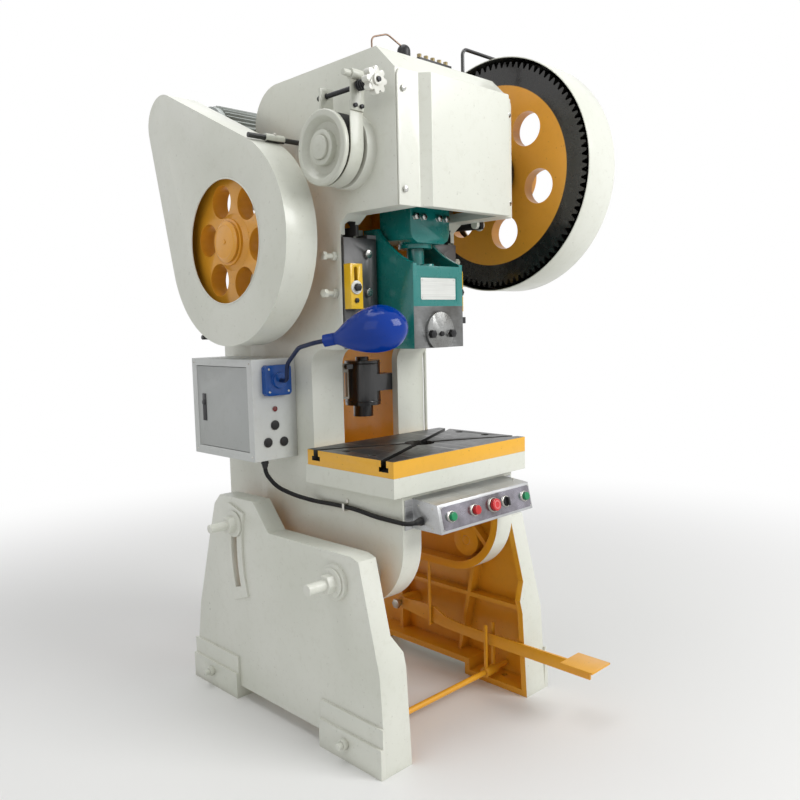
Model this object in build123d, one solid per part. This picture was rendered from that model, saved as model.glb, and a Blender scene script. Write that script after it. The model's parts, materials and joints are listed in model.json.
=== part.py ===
from build123d import *
from math import acos, asin, atan, cos, degrees, pi, radians, sin, sqrt, tan
import os

# Inclinable crank press on two bolted legs, in millimetres.
# Drawn about the slide's centre line: X = 0 is the middle plane, Y = 0 the slide's centre,
# -Y the operator's side, Z = 0 the floor. The row's origin is the centre of the foundation
# holes, so each piece is moved back by bolt_mid_y when it is written.

# Stand
foot_bolt_span_y = 750
foot_bolt_span_x = 690
bolt_mid_y = 297
foundation_r = 11
leg_out = 395
leg_wall = 18
leg_flange = 22
leg_in_low = 287
leg_in_high = 325
leg_step_z = 350
leg_front_y = -221
leg_shoulder_z = 637
leg_hump_z = 729
leg_arch_z = 43
pad_out = 18
pad_z = 92
pad_upper_out = 9
pad_upper_z = 150
pad_len = 286
rib_t = 16
tie_r = 10
tie_front_y = -62
tie_z = 56

# Tilt of the press on its front pivot bolts
pivot_y = -20
pivot_z = 547
pivot_r = 17
slot_bolt_r = 15
slot_bolt_y = 515
slot_bolt_z = 637
slot_travel = 22
slot_play = 2
boss_r = 55
nut_af = 52
washer_r = 46

# Frame
frame_half = 263
side_t = 25
flange_t = 28
flange_w = 78
column_gap = 260
throat = 230
throat_top_z = 1180
throat_r = 60
guide_front_y = 64
guide_bottom_z = 1240
guide_top_z = 1622
head_front_y = -190
head_bottom_z = 1655
head_top_z = 2110
head_chamfer = 74
head_rear_y = 493
cover_left = 181
cover_right = 228
cover_bevel = 31
cover_depth = 34
head_rear_r = 125
frame_rear_y = 747
belly_r = 210
belly_y = 30
belly_z = 650
front_wall_y = -180
front_wall_z = 690
belly_rib_t = 16
belly_rib_in = 205

# Table and bolster
table_top = 920
bolster_w = 630
bolster_d = 400
bolster_t = 50
slab_t = 60
slab_rear_y = 212
drop_hole_r = 50
slot_mouth_y = 158
slot_neck = 20
slot_neck_depth = 20
slot_foot = 36
slot_foot_h = 14

# Slide, gibs and shank clamp
stroke = 100
slide_w = 230
slide_front_y = -100
slide_back_y = 120
slide_z = 1238
slide_front_top = 1503
slide_back_top = 1620
slide_pocket_z = 1496
cheek_t = 17
rail_out = 37
rail_t = 58
way_gap = 0.1
gib_t = 22
gib_leg = 36
gib_h = 345
adjuster_z = (1416, 1531)
shank_r = 25
shank_depth = 70
cap_r = 62
cap_z = 1290
cap_proud = 8
cap_depth = 40
cap_nose = 34
knockout_w = 46
knockout_h = 22
knockout_play = 16
knockout_len = 470
stop_drop = 12

# Crank and connecting rod
crank_z = 1830
journal_r = 45
pin_r = 45
pin_half = 76
web_t = 50
web_r = 72
crank_left = 392
crank_end_r = 34
crank_right = 533
bush_wall = 10
run_gap = 0.05
eye_r = 98
rod_half = 75
ball_z = 1400
ball_r = 35
screw_r = 28
nut_flange_r = 55
nut_flange_z = 1556

# Brake on the crankshaft's left end
drum_x = 384
drum_w = 79
drum_r = 108
drum_track_r = 98
band_t = 8
band_w = 48
band_x = 336
tension_z = 1985
anchor_z = 2016
knob_r = 38
knob_t = 22

# Gear train
module = 8
gear_teeth = 95
pinion_teeth = 24
backlash = 0.5
counter_drop = 238
counter_r = 30
gear_x = 406
gear_w = 112
gear_web = 42
gear_rim_r = 311
gear_hub_r = 110
gear_hole_r = 58
gear_hole_pcr = 205
sleeve_t = 15
clutch_r = 100

# Belt drive
flywheel_r = 310
flywheel_w = 78
flywheel_x = 367
flywheel_hole_r = 54
flywheel_hole_pcr = 147
flywheel_hole_turn = 7
flywheel_web = 58
belt_r = 304.5
belt_small_r = 54.5
belt_count = 3
belt_pitch = 20
belt_w = 11
belt_t = 9
motor_y = 770
motor_z = 2022
motor_r = 88
fin_h = 14
motor_len = 290
motor_x = 5

# Guards
guard_t = 3
belt_guard_x = 345
belt_guard_w = 115
belt_guard_r = 336
belt_guard_tip_r = 100
belt_window_r = 199
gear_guard_r = 404
gear_guard_x = 397
gear_guard_w = 154
gear_window_r = 300
pinion_lobe_r = 132
stay_r = 8
stay_tube_r = 13

# Electrical boxes, lamp and cable
ebox_x = 436
ebox_y0 = 320
ebox_y1 = 690
ebox_z0 = 878
ebox_z1 = 1212
sheet = 3
door_t = 14
door_y0 = 351
door_y1 = 658
door_z0 = 909
door_z1 = 1186
door_gap = 1.5
hinge_gap = 0.3
panel_half = 221
panel_top_z = 788
panel_bottom_z = 703
panel_top_y = -280
panel_bottom_y = -299
button_z = 747
cable_r = 7
neck_r = 7
lamp_r = 74
lamp_len = 262
lamp_turn = 40
lamp_axis = (0.53, -0.82, 0.17)

# Pedal and pull rod
pedal_x = 277
pedal_t = 8
pedal_pin_y = 395
pedal_pin_z = 200
pedal_pin_r = 12
pedal_front_y = -480
pull_x = 269.7
pull_r = 6
pull_y = 225
trip_y = -30
trip_z = 1650

# Hand oil pump in the throat
pump_x = 42
pump_y = 322
pump_r = 64
pump_z = 1027
pump_h = 160

counter_y = sqrt((module * (gear_teeth + pinion_teeth) / 2) ** 2 - counter_drop ** 2)
counter_z = crank_z - counter_drop
column_in = column_gap / 2
slab_bottom = table_top - bolster_t - slab_t
slide_half = slide_w / 2

os.makedirs("parts", exist_ok=True)


def save(name, shape):
    """Write one piece, moved so that the foundation holes' centre is the origin."""
    pieces = shape if isinstance(shape, list) else [shape]
    moved = [Pos(0, -bolt_mid_y, 0) * piece for piece in pieces]
    shape = Compound(children=moved) if len(moved) > 1 else moved[0]
    shape.label = name
    export_step(shape, f"parts/{name}.step")


def block(x0, x1, y0, y1, z0, z1):
    """A box between two corners."""
    return Pos((x0 + x1) / 2, (y0 + y1) / 2, (z0 + z1) / 2) * Box(x1 - x0, y1 - y0, z1 - z0)


def rod_x(r, x0, x1, y, z):
    """A round bar along X."""
    return Pos((x0 + x1) / 2, y, z) * Rot(0, 90, 0) * Cylinder(r, x1 - x0)


def rod_y(r, y0, y1, x, z):
    """A round bar along Y."""
    return Pos(x, (y0 + y1) / 2, z) * Rot(90, 0, 0) * Cylinder(r, y1 - y0)


def rod_z(r, z0, z1, x, y):
    """A round bar along Z."""
    return Pos(x, y, (z0 + z1) / 2) * Cylinder(r, z1 - z0)


def hex_x(af, x0, x1, y, z):
    """A hexagon bar along X."""
    face = Plane.YZ.offset(x0) * Pos(y, z) * RegularPolygon(af / sqrt(3), 6)
    return extrude(face, x1 - x0, dir=(1, 0, 0))


def hex_y(af, y0, y1, x, z):
    """A hexagon bar along Y."""
    face = Plane.XZ.offset(-y0) * Pos(x, z) * RegularPolygon(af / sqrt(3), 6)
    return extrude(face, y1 - y0, dir=(0, 1, 0))


def slab_x(face, x0, x1):
    """Extrude a face drawn in (Y, Z) from x0 to x1."""
    return extrude(Plane.YZ.offset(x0) * face, x1 - x0, dir=(1, 0, 0))


def outline(*points):
    """A closed polygon face."""
    return make_face(Polyline(*points, close=True))


def mirrored(shape):
    """The same piece on the other side of the middle plane."""
    return mirror(shape, about=Plane.YZ)


# Legs: one casting each, open on the inside, with ribs, foot pads and a step above the feet
def leg_face():
    points = [(leg_front_y, 0), (leg_front_y + 16, 300), (leg_front_y + 96, leg_shoulder_z - 10),
              (leg_front_y + 130, leg_shoulder_z), (324, leg_shoulder_z - 2), (408, leg_hump_z),
              (612, leg_hump_z - 3), (650, 690), (689, 577), (780, 290), (804, pad_upper_z), (814, 0),
              (814 - pad_len, 0), (814 - pad_len, leg_arch_z), (leg_front_y + pad_len, leg_arch_z),
              (leg_front_y + pad_len, 0)]
    return outline(*points)


def slot_face(half_width, reach):
    """An arc slot about the pivot, from the slot bolt's place down by slot_travel."""
    radius = sqrt((slot_bolt_y - pivot_y) ** 2 + (slot_bolt_z - pivot_z) ** 2)
    start = degrees(asin((slot_bolt_z - pivot_z) / radius))
    extra = degrees(reach / radius)
    a0, a1 = radians(start + extra), radians(start - slot_travel - extra)
    mid = (a0 + a1) / 2
    outer, inner = radius + half_width, radius - half_width

    def at(r, a):
        return (pivot_y + r * cos(a), pivot_z + r * sin(a))

    lines = [ThreePointArc(at(outer, a0), at(outer, mid), at(outer, a1)), Line(at(outer, a1), at(inner, a1)),
             ThreePointArc(at(inner, a1), at(inner, mid), at(inner, a0)), Line(at(inner, a0), at(outer, a0))]
    return make_face(lines)


def left_leg():
    face = leg_face()
    inner = offset(face, -leg_flange, kind=Kind.INTERSECTION)
    leg = slab_x(face, -leg_out, -leg_in_low)
    slant = Plane.XZ * outline((-leg_in_high, leg_step_z + 50), (-leg_in_low + 1, leg_step_z - 10),
                               (-leg_in_low + 1, 800), (-leg_in_high, 800))
    leg -= extrude(slant, 900, both=True)
    leg -= slab_x(inner, -leg_out + leg_wall, -leg_in_low + 1)
    for y0 in (leg_front_y, 814 - pad_len):
        leg += block(-leg_out - pad_upper_out, -leg_out, y0, y0 + pad_len, 0, pad_upper_z)
        leg += block(-leg_out - pad_out, -leg_out, y0, y0 + pad_len, 0, pad_z)
    body = slab_x(face, -leg_out, -leg_in_high - 10)
    rib_in = -leg_in_high - 10
    across = block(-leg_out, rib_in, leg_front_y, 814, 294 - rib_t / 2, 294 + rib_t / 2)
    upright = slab_x(outline((0, 640), (rib_t, 640), (130 + rib_t, 40), (130, 40)), -leg_out, rib_in)
    rear = slab_x(outline((440, 729), (440 + rib_t, 729), (440 + rib_t, 40), (440, 40)), -leg_out, rib_in)
    leg += (across + upright + rear) & body
    rim = slot_face(slot_bolt_r + slot_play + 30, 58)
    leg += slab_x(rim, -leg_out - 8, -leg_out)
    leg += rod_x(boss_r, -leg_out - 14, -frame_half - 4, pivot_y, pivot_z)
    leg -= rod_x(pivot_r + 0.4, -leg_out - 30, -200, pivot_y, pivot_z)
    leg -= slab_x(slot_face(slot_bolt_r + slot_play, slot_bolt_r + slot_play), -leg_out - 20, -leg_in_low)
    for y in (tie_front_y, tie_front_y + 750):
        leg -= rod_x(tie_r + 0.4, -leg_out - 40, -200, y, tie_z)
    for y in (bolt_mid_y - foot_bolt_span_y / 2, bolt_mid_y + foot_bolt_span_y / 2):
        leg -= rod_z(foundation_r, -1, leg_flange + 1, -foot_bolt_span_x / 2, y)
    return leg


def right_leg():
    leg = mirrored(left_leg())
    boss = rod_x(26, pedal_x + pedal_t + 1, leg_out - leg_wall, pedal_pin_y, pedal_pin_z)
    return leg + boss - rod_x(pedal_pin_r, pedal_x, leg_out - leg_wall, pedal_pin_y, pedal_pin_z)


def tie_rods():
    """Two threaded rods through the feet, each with two nuts."""
    pieces = []
    for y in (tie_front_y, tie_front_y + 750):
        half = leg_out + pad_out + 32
        pieces.append(rod_x(tie_r, -half, half, y, tie_z))
        for side in (-1, 1):
            face = leg_out + pad_out
            nut = hex_x(30, face, face + 16, y, tie_z) - rod_x(tie_r, face, face + 16, y, tie_z)
            pieces.append(nut if side > 0 else mirrored(nut))
    return pieces


def stud(length_out, inner_end, face, y, z, r):
    """A stud along -X with its nut and washer against a leg's face at -face."""
    bar = rod_x(r, -face - length_out, -inner_end, y, z)
    washer = rod_x(washer_r, -face - 7, -face, y, z)
    nut = hex_x(nut_af, -face - 33, -face - 7, y, z)
    return bar + washer + nut


def pivot_bolts():
    one = stud(98, 205, leg_out + 14, pivot_y, pivot_z, pivot_r)
    return [one, mirrored(one)]


def slot_bolts():
    one = stud(98, frame_half - 50, leg_out + 8.3, slot_bolt_y, slot_bolt_z, slot_bolt_r)
    return [one, mirrored(one)]


# Frame: side walls with a flange round their edge, table slab, guide blocks and bosses
def frame_face():
    half = sin(pi / 4)
    arc_y, arc_z = head_rear_y - head_rear_r, head_top_z - head_rear_r
    rear_mid = (arc_y + head_rear_r * half, arc_z + head_rear_r * half)
    belly_mid = (belly_y - belly_r * half, belly_z - belly_r * half)
    throat_mid = (throat - throat_r + throat_r * half, throat_top_z + throat_r * half)
    slab_top = table_top - bolster_t
    lines = [
        Polyline((head_front_y, head_bottom_z), (head_front_y, head_top_z - head_chamfer),
                 (head_front_y + head_chamfer, head_top_z), (head_rear_y - head_rear_r, head_top_z)),
        ThreePointArc((arc_y, head_top_z), rear_mid, (head_rear_y, arc_z)),
        Polyline((head_rear_y, head_top_z - head_rear_r), (head_rear_y, 1560), (frame_rear_y, 1330),
                 (frame_rear_y, 620), (400, belly_z - belly_r), (belly_y, belly_z - belly_r)),
        ThreePointArc((belly_y, belly_z - belly_r), belly_mid, (belly_y - belly_r, belly_z)),
        Polyline((belly_y - belly_r, belly_z), (front_wall_y, slab_top), (throat, slab_top), (throat, throat_top_z)),
        ThreePointArc((throat, throat_top_z), throat_mid, (throat - throat_r, throat_top_z + throat_r)),
        Polyline((throat - throat_r, guide_bottom_z), (guide_front_y, guide_bottom_z),
                 (guide_front_y, head_bottom_z - 26), (guide_front_y - 36, head_bottom_z),
                 (head_front_y, head_bottom_z)),
    ]
    return make_face(lines)


def frame():
    face = frame_face()
    rim = face - offset(face, -flange_t, kind=Kind.INTERSECTION)
    solid = slab_x(face, -frame_half, -frame_half + side_t)
    solid += slab_x(rim, -frame_half, -frame_half + flange_w)
    column = slab_x(rim, -frame_half, -column_in)
    solid += column & block(-frame_half, 0, guide_front_y, throat + flange_t + 5, table_top - bolster_t,
                            guide_bottom_z + flange_t)
    across = slab_x(rim, -frame_half, 0)
    solid += across & block(-frame_half, 0, head_front_y - 1, head_rear_y + 1, head_top_z - 100, head_top_z + 1)
    solid += across & block(-frame_half, 0, head_rear_y - 60, head_rear_y + 1, 1600, head_top_z)
    solid += across & block(-frame_half, 0, frame_rear_y - 60, frame_rear_y + 1, 650, 880)
    # Guide block with the pocket for the gib and the slide's rail
    pocket_out = slide_half + rail_out + gib_leg + way_gap
    way_y = guide_front_y + rail_t + way_gap
    solid += block(-frame_half, -slide_half - 3, guide_front_y, way_y + 30, guide_bottom_z, guide_top_z)
    solid -= block(-pocket_out, -slide_half + 3, guide_front_y - 1, way_y, guide_bottom_z - 1, guide_top_z + 60)
    solid -= block(-frame_half + 1, -pocket_out + 1, guide_front_y - 1, guide_front_y + 12, guide_bottom_z - 1,
                   guide_bottom_z + gib_h + 10)
    arch = Plane.XZ.offset(-guide_front_y - 60) * Pos(-222, 1606) * RectangleRounded(46, 66, 20)
    solid -= extrude(arch, 70, dir=(0, -1, 0))
    # Bearing housings of the crankshaft and of the countershaft
    solid += rod_x(110, -300, -170, 0, crank_z)
    solid += rod_x(66, -frame_half - 8, -205, counter_y, counter_z)
    solid += rod_x(boss_r, -frame_half - 3, -205, pivot_y, pivot_z)
    solid += rod_x(boss_r, -frame_half - 3, -205, slot_bolt_y, slot_bolt_z)
    solid += mirrored(solid)
    # Table, front wall and the slanted rib inside each wall of the belly
    slab_w = bolster_w / 2
    solid += block(-slab_w, slab_w, -bolster_d / 2, slab_rear_y, slab_bottom, slab_bottom + slab_t)
    solid += block(-frame_half, frame_half, front_wall_y, front_wall_y + flange_t, front_wall_z, slab_bottom)
    rib = Pos(0, 20, 675) * Rot(-45, 0, 0) * Box(frame_half - side_t - belly_rib_in + 2, belly_rib_t, 460)
    rib_mid = (frame_half - side_t + belly_rib_in + 2) / 2
    inside = slab_x(face, -frame_half + side_t, frame_half - side_t)
    inside &= block(-frame_half, frame_half, -400, 400, 0, slab_bottom + 1)
    for side in (-1, 1):
        solid += Pos(side * rib_mid, 0, 0) * rib & inside
    # Bores
    for y, z, r in ((0, crank_z, journal_r + bush_wall), (counter_y, counter_z, counter_r + bush_wall)):
        solid -= rod_x(r, -400, 400, y, z)
    for side in (-1, 1):
        for y, z, r in ((pivot_y, pivot_z, pivot_r + run_gap), (slot_bolt_y, slot_bolt_z, slot_bolt_r)):
            solid -= rod_x(r, *sorted((side * 200, side * 300)), y, z)
    solid -= rod_z(drop_hole_r + 20, slab_bottom - 1, slab_bottom + slab_t + 1, 0, 0)
    for y, z in belt_stays():
        solid -= rod_x(stay_r, -frame_half - 1, -frame_half + side_t, y, z)
    for side in (-1, 1):
        for z in adjuster_z:
            solid -= rod_x(8, *sorted((side * 187, side * 270)), 94, z)
    return solid


# Bolster plate: T-slots run from the side faces to the drop hole
def bolster_plate():
    top = table_top
    plate = block(-bolster_w / 2, bolster_w / 2, -bolster_d / 2, bolster_d / 2, top - bolster_t, top)
    angle = degrees(asin(slot_mouth_y / sqrt(slot_mouth_y ** 2 + (bolster_w / 2) ** 2)))
    for turn in (angle, -angle):
        neck = Box(900, slot_neck, slot_neck_depth)
        foot = Box(900, slot_foot, slot_foot_h)
        slot = Pos(0, 0, -slot_neck_depth / 2) * neck + Pos(0, 0, -slot_neck_depth - slot_foot_h / 2) * foot
        plate -= Pos(0, 0, top) * Rot(0, 0, turn) * slot
    plate -= rod_z(drop_hole_r, top - bolster_t - 1, top + 1, 0, 0)
    for x, y in bolster_screws():
        plate -= rod_z(9, top - bolster_t - 1, top + 1, x, y)
        plate -= rod_z(14, top - 20, top + 1, x, y)
    return plate


def bolster_screws():
    return [(x, y) for x in (-270, 270) for y in (-60, 60)]


def cover_screws():
    return [(side * 240, z) for side in (-1, 1) for z in (1700, 1980)]


def cap_screws():
    """Socket screws of the bolster and the front cover, and hexagon screws of the gibs."""
    pieces = []
    for x, y in bolster_screws():
        screw = rod_z(13, table_top - 20, table_top - 5, x, y)
        screw += rod_z(8.5, table_top - bolster_t, table_top - 20, x, y)
        pieces.append(screw - rod_z(7, table_top - 12, table_top - 4, x, y))
    for x, z in cover_screws():
        pieces.append(hex_y(16, head_front_y - 14, head_front_y - 6, x, z))
    for side in (-1, 1):
        for z in (1418, 1538):
            pieces.append(rod_y(13, guide_front_y - 22, guide_front_y - 10, side * 165, z))
    return pieces


def front_cover():
    """Sheet cover over the head: a flat edge strip and a raised panel with bevelled sides."""
    y = head_front_y
    top = head_top_z - head_chamfer
    sheet_face = Pos(0, (head_bottom_z + top) / 2) * Rectangle(2 * frame_half - 4, top - head_bottom_z)
    plate = extrude(Plane.XZ.offset(-y) * sheet_face, 6, dir=(0, -1, 0))
    upper = [e for e in plate.edges().filter_by(Axis.Y) if e.center().Z > top - 1]
    plate = fillet(upper, 25)

    def raised(inset):
        depth = cover_depth - inset
        section = outline((inset - cover_left, y), (inset - cover_left + cover_bevel, y - depth),
                          (cover_right - cover_bevel / 2 - inset, y - depth), (cover_right - inset, y))
        return Pos(0, 0, head_bottom_z + inset) * extrude(section, top - head_bottom_z - 2 * inset)

    return plate + raised(0) - raised(3)


# Gibs: an L section that holds the slide's rail against the frame's way
def left_gib():
    z0 = guide_bottom_z + 2
    front = guide_front_y - 8
    rail_side = slide_half + rail_out + way_gap
    gib = block(-frame_half + 3, -slide_half - 9, front - 2, guide_front_y - way_gap, z0, z0 + gib_h)
    gib += block(-rail_side - gib_leg + 0.2, -rail_side, guide_front_y - way_gap, guide_front_y + rail_t,
                 z0, z0 + gib_h)
    for z in (1418, 1538):
        gib -= rod_y(9, front - 3, guide_front_y, -165, z)
    return gib


def gib_adjusters():
    """Screws with lock nuts that push each gib against the rail."""
    pieces = []
    for z in adjuster_z:
        inner = slide_half + rail_out + gib_leg
        screw = rod_x(8, -frame_half - 52, -inner, 94, z)
        screw += hex_x(24, -frame_half - 52, -frame_half - 38, 94, z)
        screw += hex_x(26, -frame_half - 14, -frame_half, 94, z)
        pieces += [screw, mirrored(screw)]
    return pieces


def knockout_stops():
    """Slotted brackets that the knock-out bar strikes at the top of the stroke."""
    y1 = guide_front_y - 10.1
    stop = block(-frame_half + 1, -213, y1 - 30, y1, 1366, 1505)
    slot = Plane.XZ.offset(-y1) * Pos(-240, 1465) * SlotOverall(60, 14, rotation=90)
    stop -= extrude(slot, 40, dir=(0, -1, 0))
    stop += rod_y(21, y1 - 34, y1 - 30, -240, 1432) + hex_y(22, y1 - 44, y1 - 34, -240, 1432)
    stop += hex_y(14, y1 - 36, y1 - 30, -240, 1392)
    return [stop, Pos(0, 0, -stop_drop) * mirrored(stop)]


# Slide: rails at its back, a shank bore with a clamp cap, a knock-out slot and a ball pocket
def slide():
    side = make_face([
        Polyline((slide_back_y, slide_z), (slide_front_y, slide_z), (slide_front_y, slide_front_top)),
        ThreePointArc((slide_front_y, slide_front_top), (-20, slide_front_top + 40), (58, slide_back_top)),
        Polyline((58, slide_back_top), (slide_back_y, slide_back_top), (slide_back_y, slide_z)),
    ])
    solid = slab_x(side, -slide_half, slide_half)
    rail_half = slide_half + rail_out
    solid += block(-rail_half, rail_half, guide_front_y + way_gap, guide_front_y + rail_t, slide_z + 4, 1600)
    # Ball pocket, open to the rear for the travel of the open pivot
    solid -= block(-ball_r - 6, ball_r + 6, -ball_r - 6, slide_back_y + 5, ball_z - ball_r - 12, 1700)
    solid -= block(-slide_half + cheek_t, slide_half - cheek_t, slide_front_y - 1, slide_back_y + 5, slide_pocket_z, 1700)
    # Shank bore, cap seat and knock-out slot
    solid -= rod_z(shank_r, slide_z - 1, slide_z + shank_depth, 0, 0)
    solid -= cap_seat(0.3)
    slot_z = slide_z + shank_depth + 4
    solid -= block(-slide_half - 1, slide_half + 1, -10 - 0.5, -10 + knockout_w + 0.5, slot_z - 0.5,
                   slot_z + knockout_h + knockout_play + 1)
    solid -= block(-5, 5, -5, 5, slide_z + shank_depth - 1, slot_z)
    # Screw boss and plate recess on the front
    boss = rod_z(22, 1440, slide_front_top - 1, -28, slide_front_y + 22)
    solid += boss & block(-200, 200, slide_front_y, 0, 1400, 1600)
    solid -= block(-6, 76, slide_front_y + 9, slide_front_y + 40, slide_pocket_z - 22, slide_pocket_z + 60)
    solid -= block(-86, 86, slide_front_y - 1, slide_front_y + 1, 1386, 1463)
    return solid


def cap_seat(gap):
    """The round recess in the slide's front and the slot for the cap's nose."""
    depth = slide_front_y + cap_depth + gap
    seat = rod_y(cap_r + gap, slide_front_y - 20, depth, 0, cap_z)
    nose = cap_nose / 2 + gap
    seat += block(-nose, nose, slide_front_y - 20, -shank_r * 0.6, slide_z - 30, slide_z + shank_depth)
    return seat & block(-200, 200, -300, 0, slide_z - 1, 1400)


def shank_cap():
    """Clamp cap whose nose closes the front of the shank bore, with its two hexagon screws."""
    face_y = slide_front_y - cap_proud
    cap = rod_y(cap_r, face_y, slide_front_y + cap_depth, 0, cap_z)
    cap += block(-cap_nose / 2, cap_nose / 2, face_y + 2, -shank_r * 0.6, slide_z, slide_z + shank_depth - 1)
    cap &= block(-200, 200, -300, 0, slide_z, 1400)
    cap -= rod_z(shank_r, slide_z - 1, slide_z + shank_depth + 1, 0, 0)
    for x in (-46, 46):
        cap += hex_y(24, face_y - 14, face_y, x, cap_z - 8)
    return cap + rod_y(8, face_y - 8, face_y, 0, cap_z - 8)


def knockout_bar():
    z0 = slide_z + shank_depth + 4
    return block(-knockout_len / 2, knockout_len / 2, -10, -10 + knockout_w, z0, z0 + knockout_h)


# Crankshaft: two journals, two webs and a pin at the top of the stroke
def hull_face(y0, z0, r0, y1, z1, r1):
    """The outline of two circles and their outer tangents, as a face in (Y, Z)."""
    dy, dz = y1 - y0, z1 - z0
    gap = sqrt(dy * dy + dz * dz)
    lean = asin((r0 - r1) / gap)
    ux, uz = dy / gap, dz / gap
    quad = []
    for sign in (1, -1):
        nx = ux * sin(lean) - sign * uz * cos(lean)
        nz = uz * sin(lean) + sign * ux * cos(lean)
        quad.append(((y0 + r0 * nx, z0 + r0 * nz), (y1 + r1 * nx, z1 + r1 * nz)))
    body = outline(quad[0][0], quad[0][1], quad[1][1], quad[1][0])
    return body + Pos(y0, z0) * Circle(r0) + Pos(y1, z1) * Circle(r1)


def crankshaft():
    shaft = rod_x(journal_r, -frame_half - 40, -pin_half - 2, 0, crank_z)
    shaft += rod_x(crank_end_r, -crank_left, -frame_half - 40, 0, crank_z)
    shaft += rod_x(journal_r, pin_half + 2, crank_right - 12, 0, crank_z)
    web = slab_x(hull_face(0, crank_z, web_r, 0, crank_z + stroke / 2, web_r - 4), pin_half, pin_half + web_t)
    shaft += web + mirrored(web)
    return shaft + rod_x(pin_r, -pin_half, pin_half, 0, crank_z + stroke / 2)


def brake_drum():
    drum = rod_x(drum_track_r, -drum_x, -drum_x + drum_w, 0, crank_z)
    drum += rod_x(drum_r, -drum_x, -drum_x + 16, 0, crank_z)
    wall = Plane.XY * outline((-drum_x - 1, 90), (-drum_x + 20, 74), (-drum_x + 20, 50), (-drum_x - 1, 50))
    dish = Pos(0, 0, crank_z) * revolve(wall, Axis.X)
    edge = [e for e in drum.edges() if abs(e.center().X + drum_x) < 0.1]
    drum = fillet(edge, 6)
    return drum - dish - rod_x(crank_end_r, -drum_x - 1, 0, 0, crank_z)


def brake_band():
    """Steel band with lining round the drum; its front end runs up to the bracket."""
    x0, x1 = -band_x - band_w / 2, -band_x + band_w / 2
    ring = Circle(drum_track_r + 1 + band_t) - Circle(drum_track_r + 1)
    wedge = outline((0, 0), (-300, 0), (-300, 300), (60, 300))
    band = slab_x(Pos(0, crank_z) * (ring - wedge), x0, x1)
    strap_y = -drum_track_r - 1 - band_t
    band += block(x0, x1, strap_y, strap_y + 4, crank_z - 1, tension_z - 40)
    band += block(x0, x1, 22, 30, crank_z + 100, tension_z + 22)
    return band - rod_y(8, -200, 100, -band_x, tension_z)


def band_bracket():
    """Plate bolted to the strap, hung on an anchor pin, with the tension rod through it."""
    x0, x1 = -band_x - band_w / 2, -band_x + band_w / 2
    y = -drum_track_r - 1 - band_t
    plate = block(x0, x1, y - 6, y, tension_z - 66, anchor_z) + rod_x(15, x0, x1, y - 3, anchor_z)
    plate += rod_x(9, -band_x - 50, -frame_half, y - 3, anchor_z)
    for x in (-12, 12):
        plate += rod_y(6, y - 14, y - 6, -band_x + x, tension_z - 54)
    plate -= rod_y(8, -300, 0, -band_x, tension_z)
    return plate


def tension_rod():
    rod = rod_y(7, -205, 60, -band_x, tension_z)
    return rod + hex_y(26, 30, 46, -band_x, tension_z)


def brake_spring():
    """Coil spring between the bracket and the knob."""
    y0 = -drum_track_r - 1 - band_t - 8.5
    turns, pitch, wire = 5, 9.5, 2.5
    path = Helix(pitch, pitch * turns, 13)
    coil = sweep(Plane(path @ 0, z_dir=path % 0) * Circle(wire), path)
    return Pos(-band_x, y0, tension_z) * Rot(90, 0, 0) * coil


def star_knob():
    y1 = -drum_track_r - band_t - 66
    face = Circle(knob_r - 9)
    for i in range(8):
        a = radians(45 * i)
        face += Pos((knob_r - 9) * cos(a), (knob_r - 9) * sin(a)) * Circle(9)
    knob = extrude(Plane.XZ.offset(-y1) * Pos(-band_x, tension_z) * face, knob_t, dir=(0, -1, 0))
    knob += rod_y(15, y1 - knob_t - 6, y1 + 6, -band_x, tension_z)
    return knob - rod_y(7 + run_gap, -400, 0, -band_x, tension_z)


# Spur gears with involute flanks
def gear_face(teeth, turn):
    """A spur gear outline about the origin; turn sets the first tooth's direction, in degrees."""
    pitch_r = module * teeth / 2
    base_r = pitch_r * cos(radians(20))
    tip_r, root_r = pitch_r + module, pitch_r - 1.25 * module
    half = pi / (2 * teeth) - backlash / (4 * pitch_r)

    def involute(r):
        a = acos(base_r / r)
        return tan(a) - a

    low = max(base_r, root_r + 0.5)
    radii = [low + (tip_r - low) * k / 4 for k in range(5)]
    centre = half + involute(pitch_r)
    flank = [(r, centre - involute(r)) for r in radii]
    root_a = flank[0][1] + 0.4 * (pi / teeth - flank[0][1])
    points = []
    for i in range(teeth):
        mid = radians(turn) + 2 * pi * i / teeth
        run = [(root_r, -root_a)] + [(r, -a) for r, a in flank]
        run += [(r, a) for r, a in reversed(flank)] + [(root_r, root_a)]
        points += [(r * cos(mid + a), r * sin(mid + a)) for r, a in run]
    return outline(*points)


def mesh_turns():
    """Tooth directions that put a gear tooth in a pinion gap on the line of centres."""
    line = degrees(asin(-counter_drop / (module * (gear_teeth + pinion_teeth) / 2)))
    return line, line + 180 + 180 / pinion_teeth


def bull_gear():
    turn, _ = mesh_turns()
    face = gear_face(gear_teeth, turn) - Circle(journal_r + sleeve_t + run_gap)
    for i in range(6):
        a = radians(136 + 60 * i)
        face -= Pos(gear_hole_pcr * cos(a), gear_hole_pcr * sin(a)) * Circle(gear_hole_r)
    gear = slab_x(Pos(0, crank_z) * face, gear_x, gear_x + gear_w)
    recess = Circle(gear_rim_r) - Circle(gear_hub_r)
    return gear - slab_x(Pos(0, crank_z) * recess, gear_x + gear_web, gear_x + gear_w + 1)


def pinion_shaft():
    _, turn = mesh_turns()
    shaft = rod_x(counter_r, -flywheel_x - flywheel_w - 6, gear_x + gear_w + 8, counter_y, counter_z)
    pinion = Pos(counter_y, counter_z) * gear_face(pinion_teeth, turn)
    return shaft + slab_x(pinion, gear_x - 4, gear_x + gear_w + 4)


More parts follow.
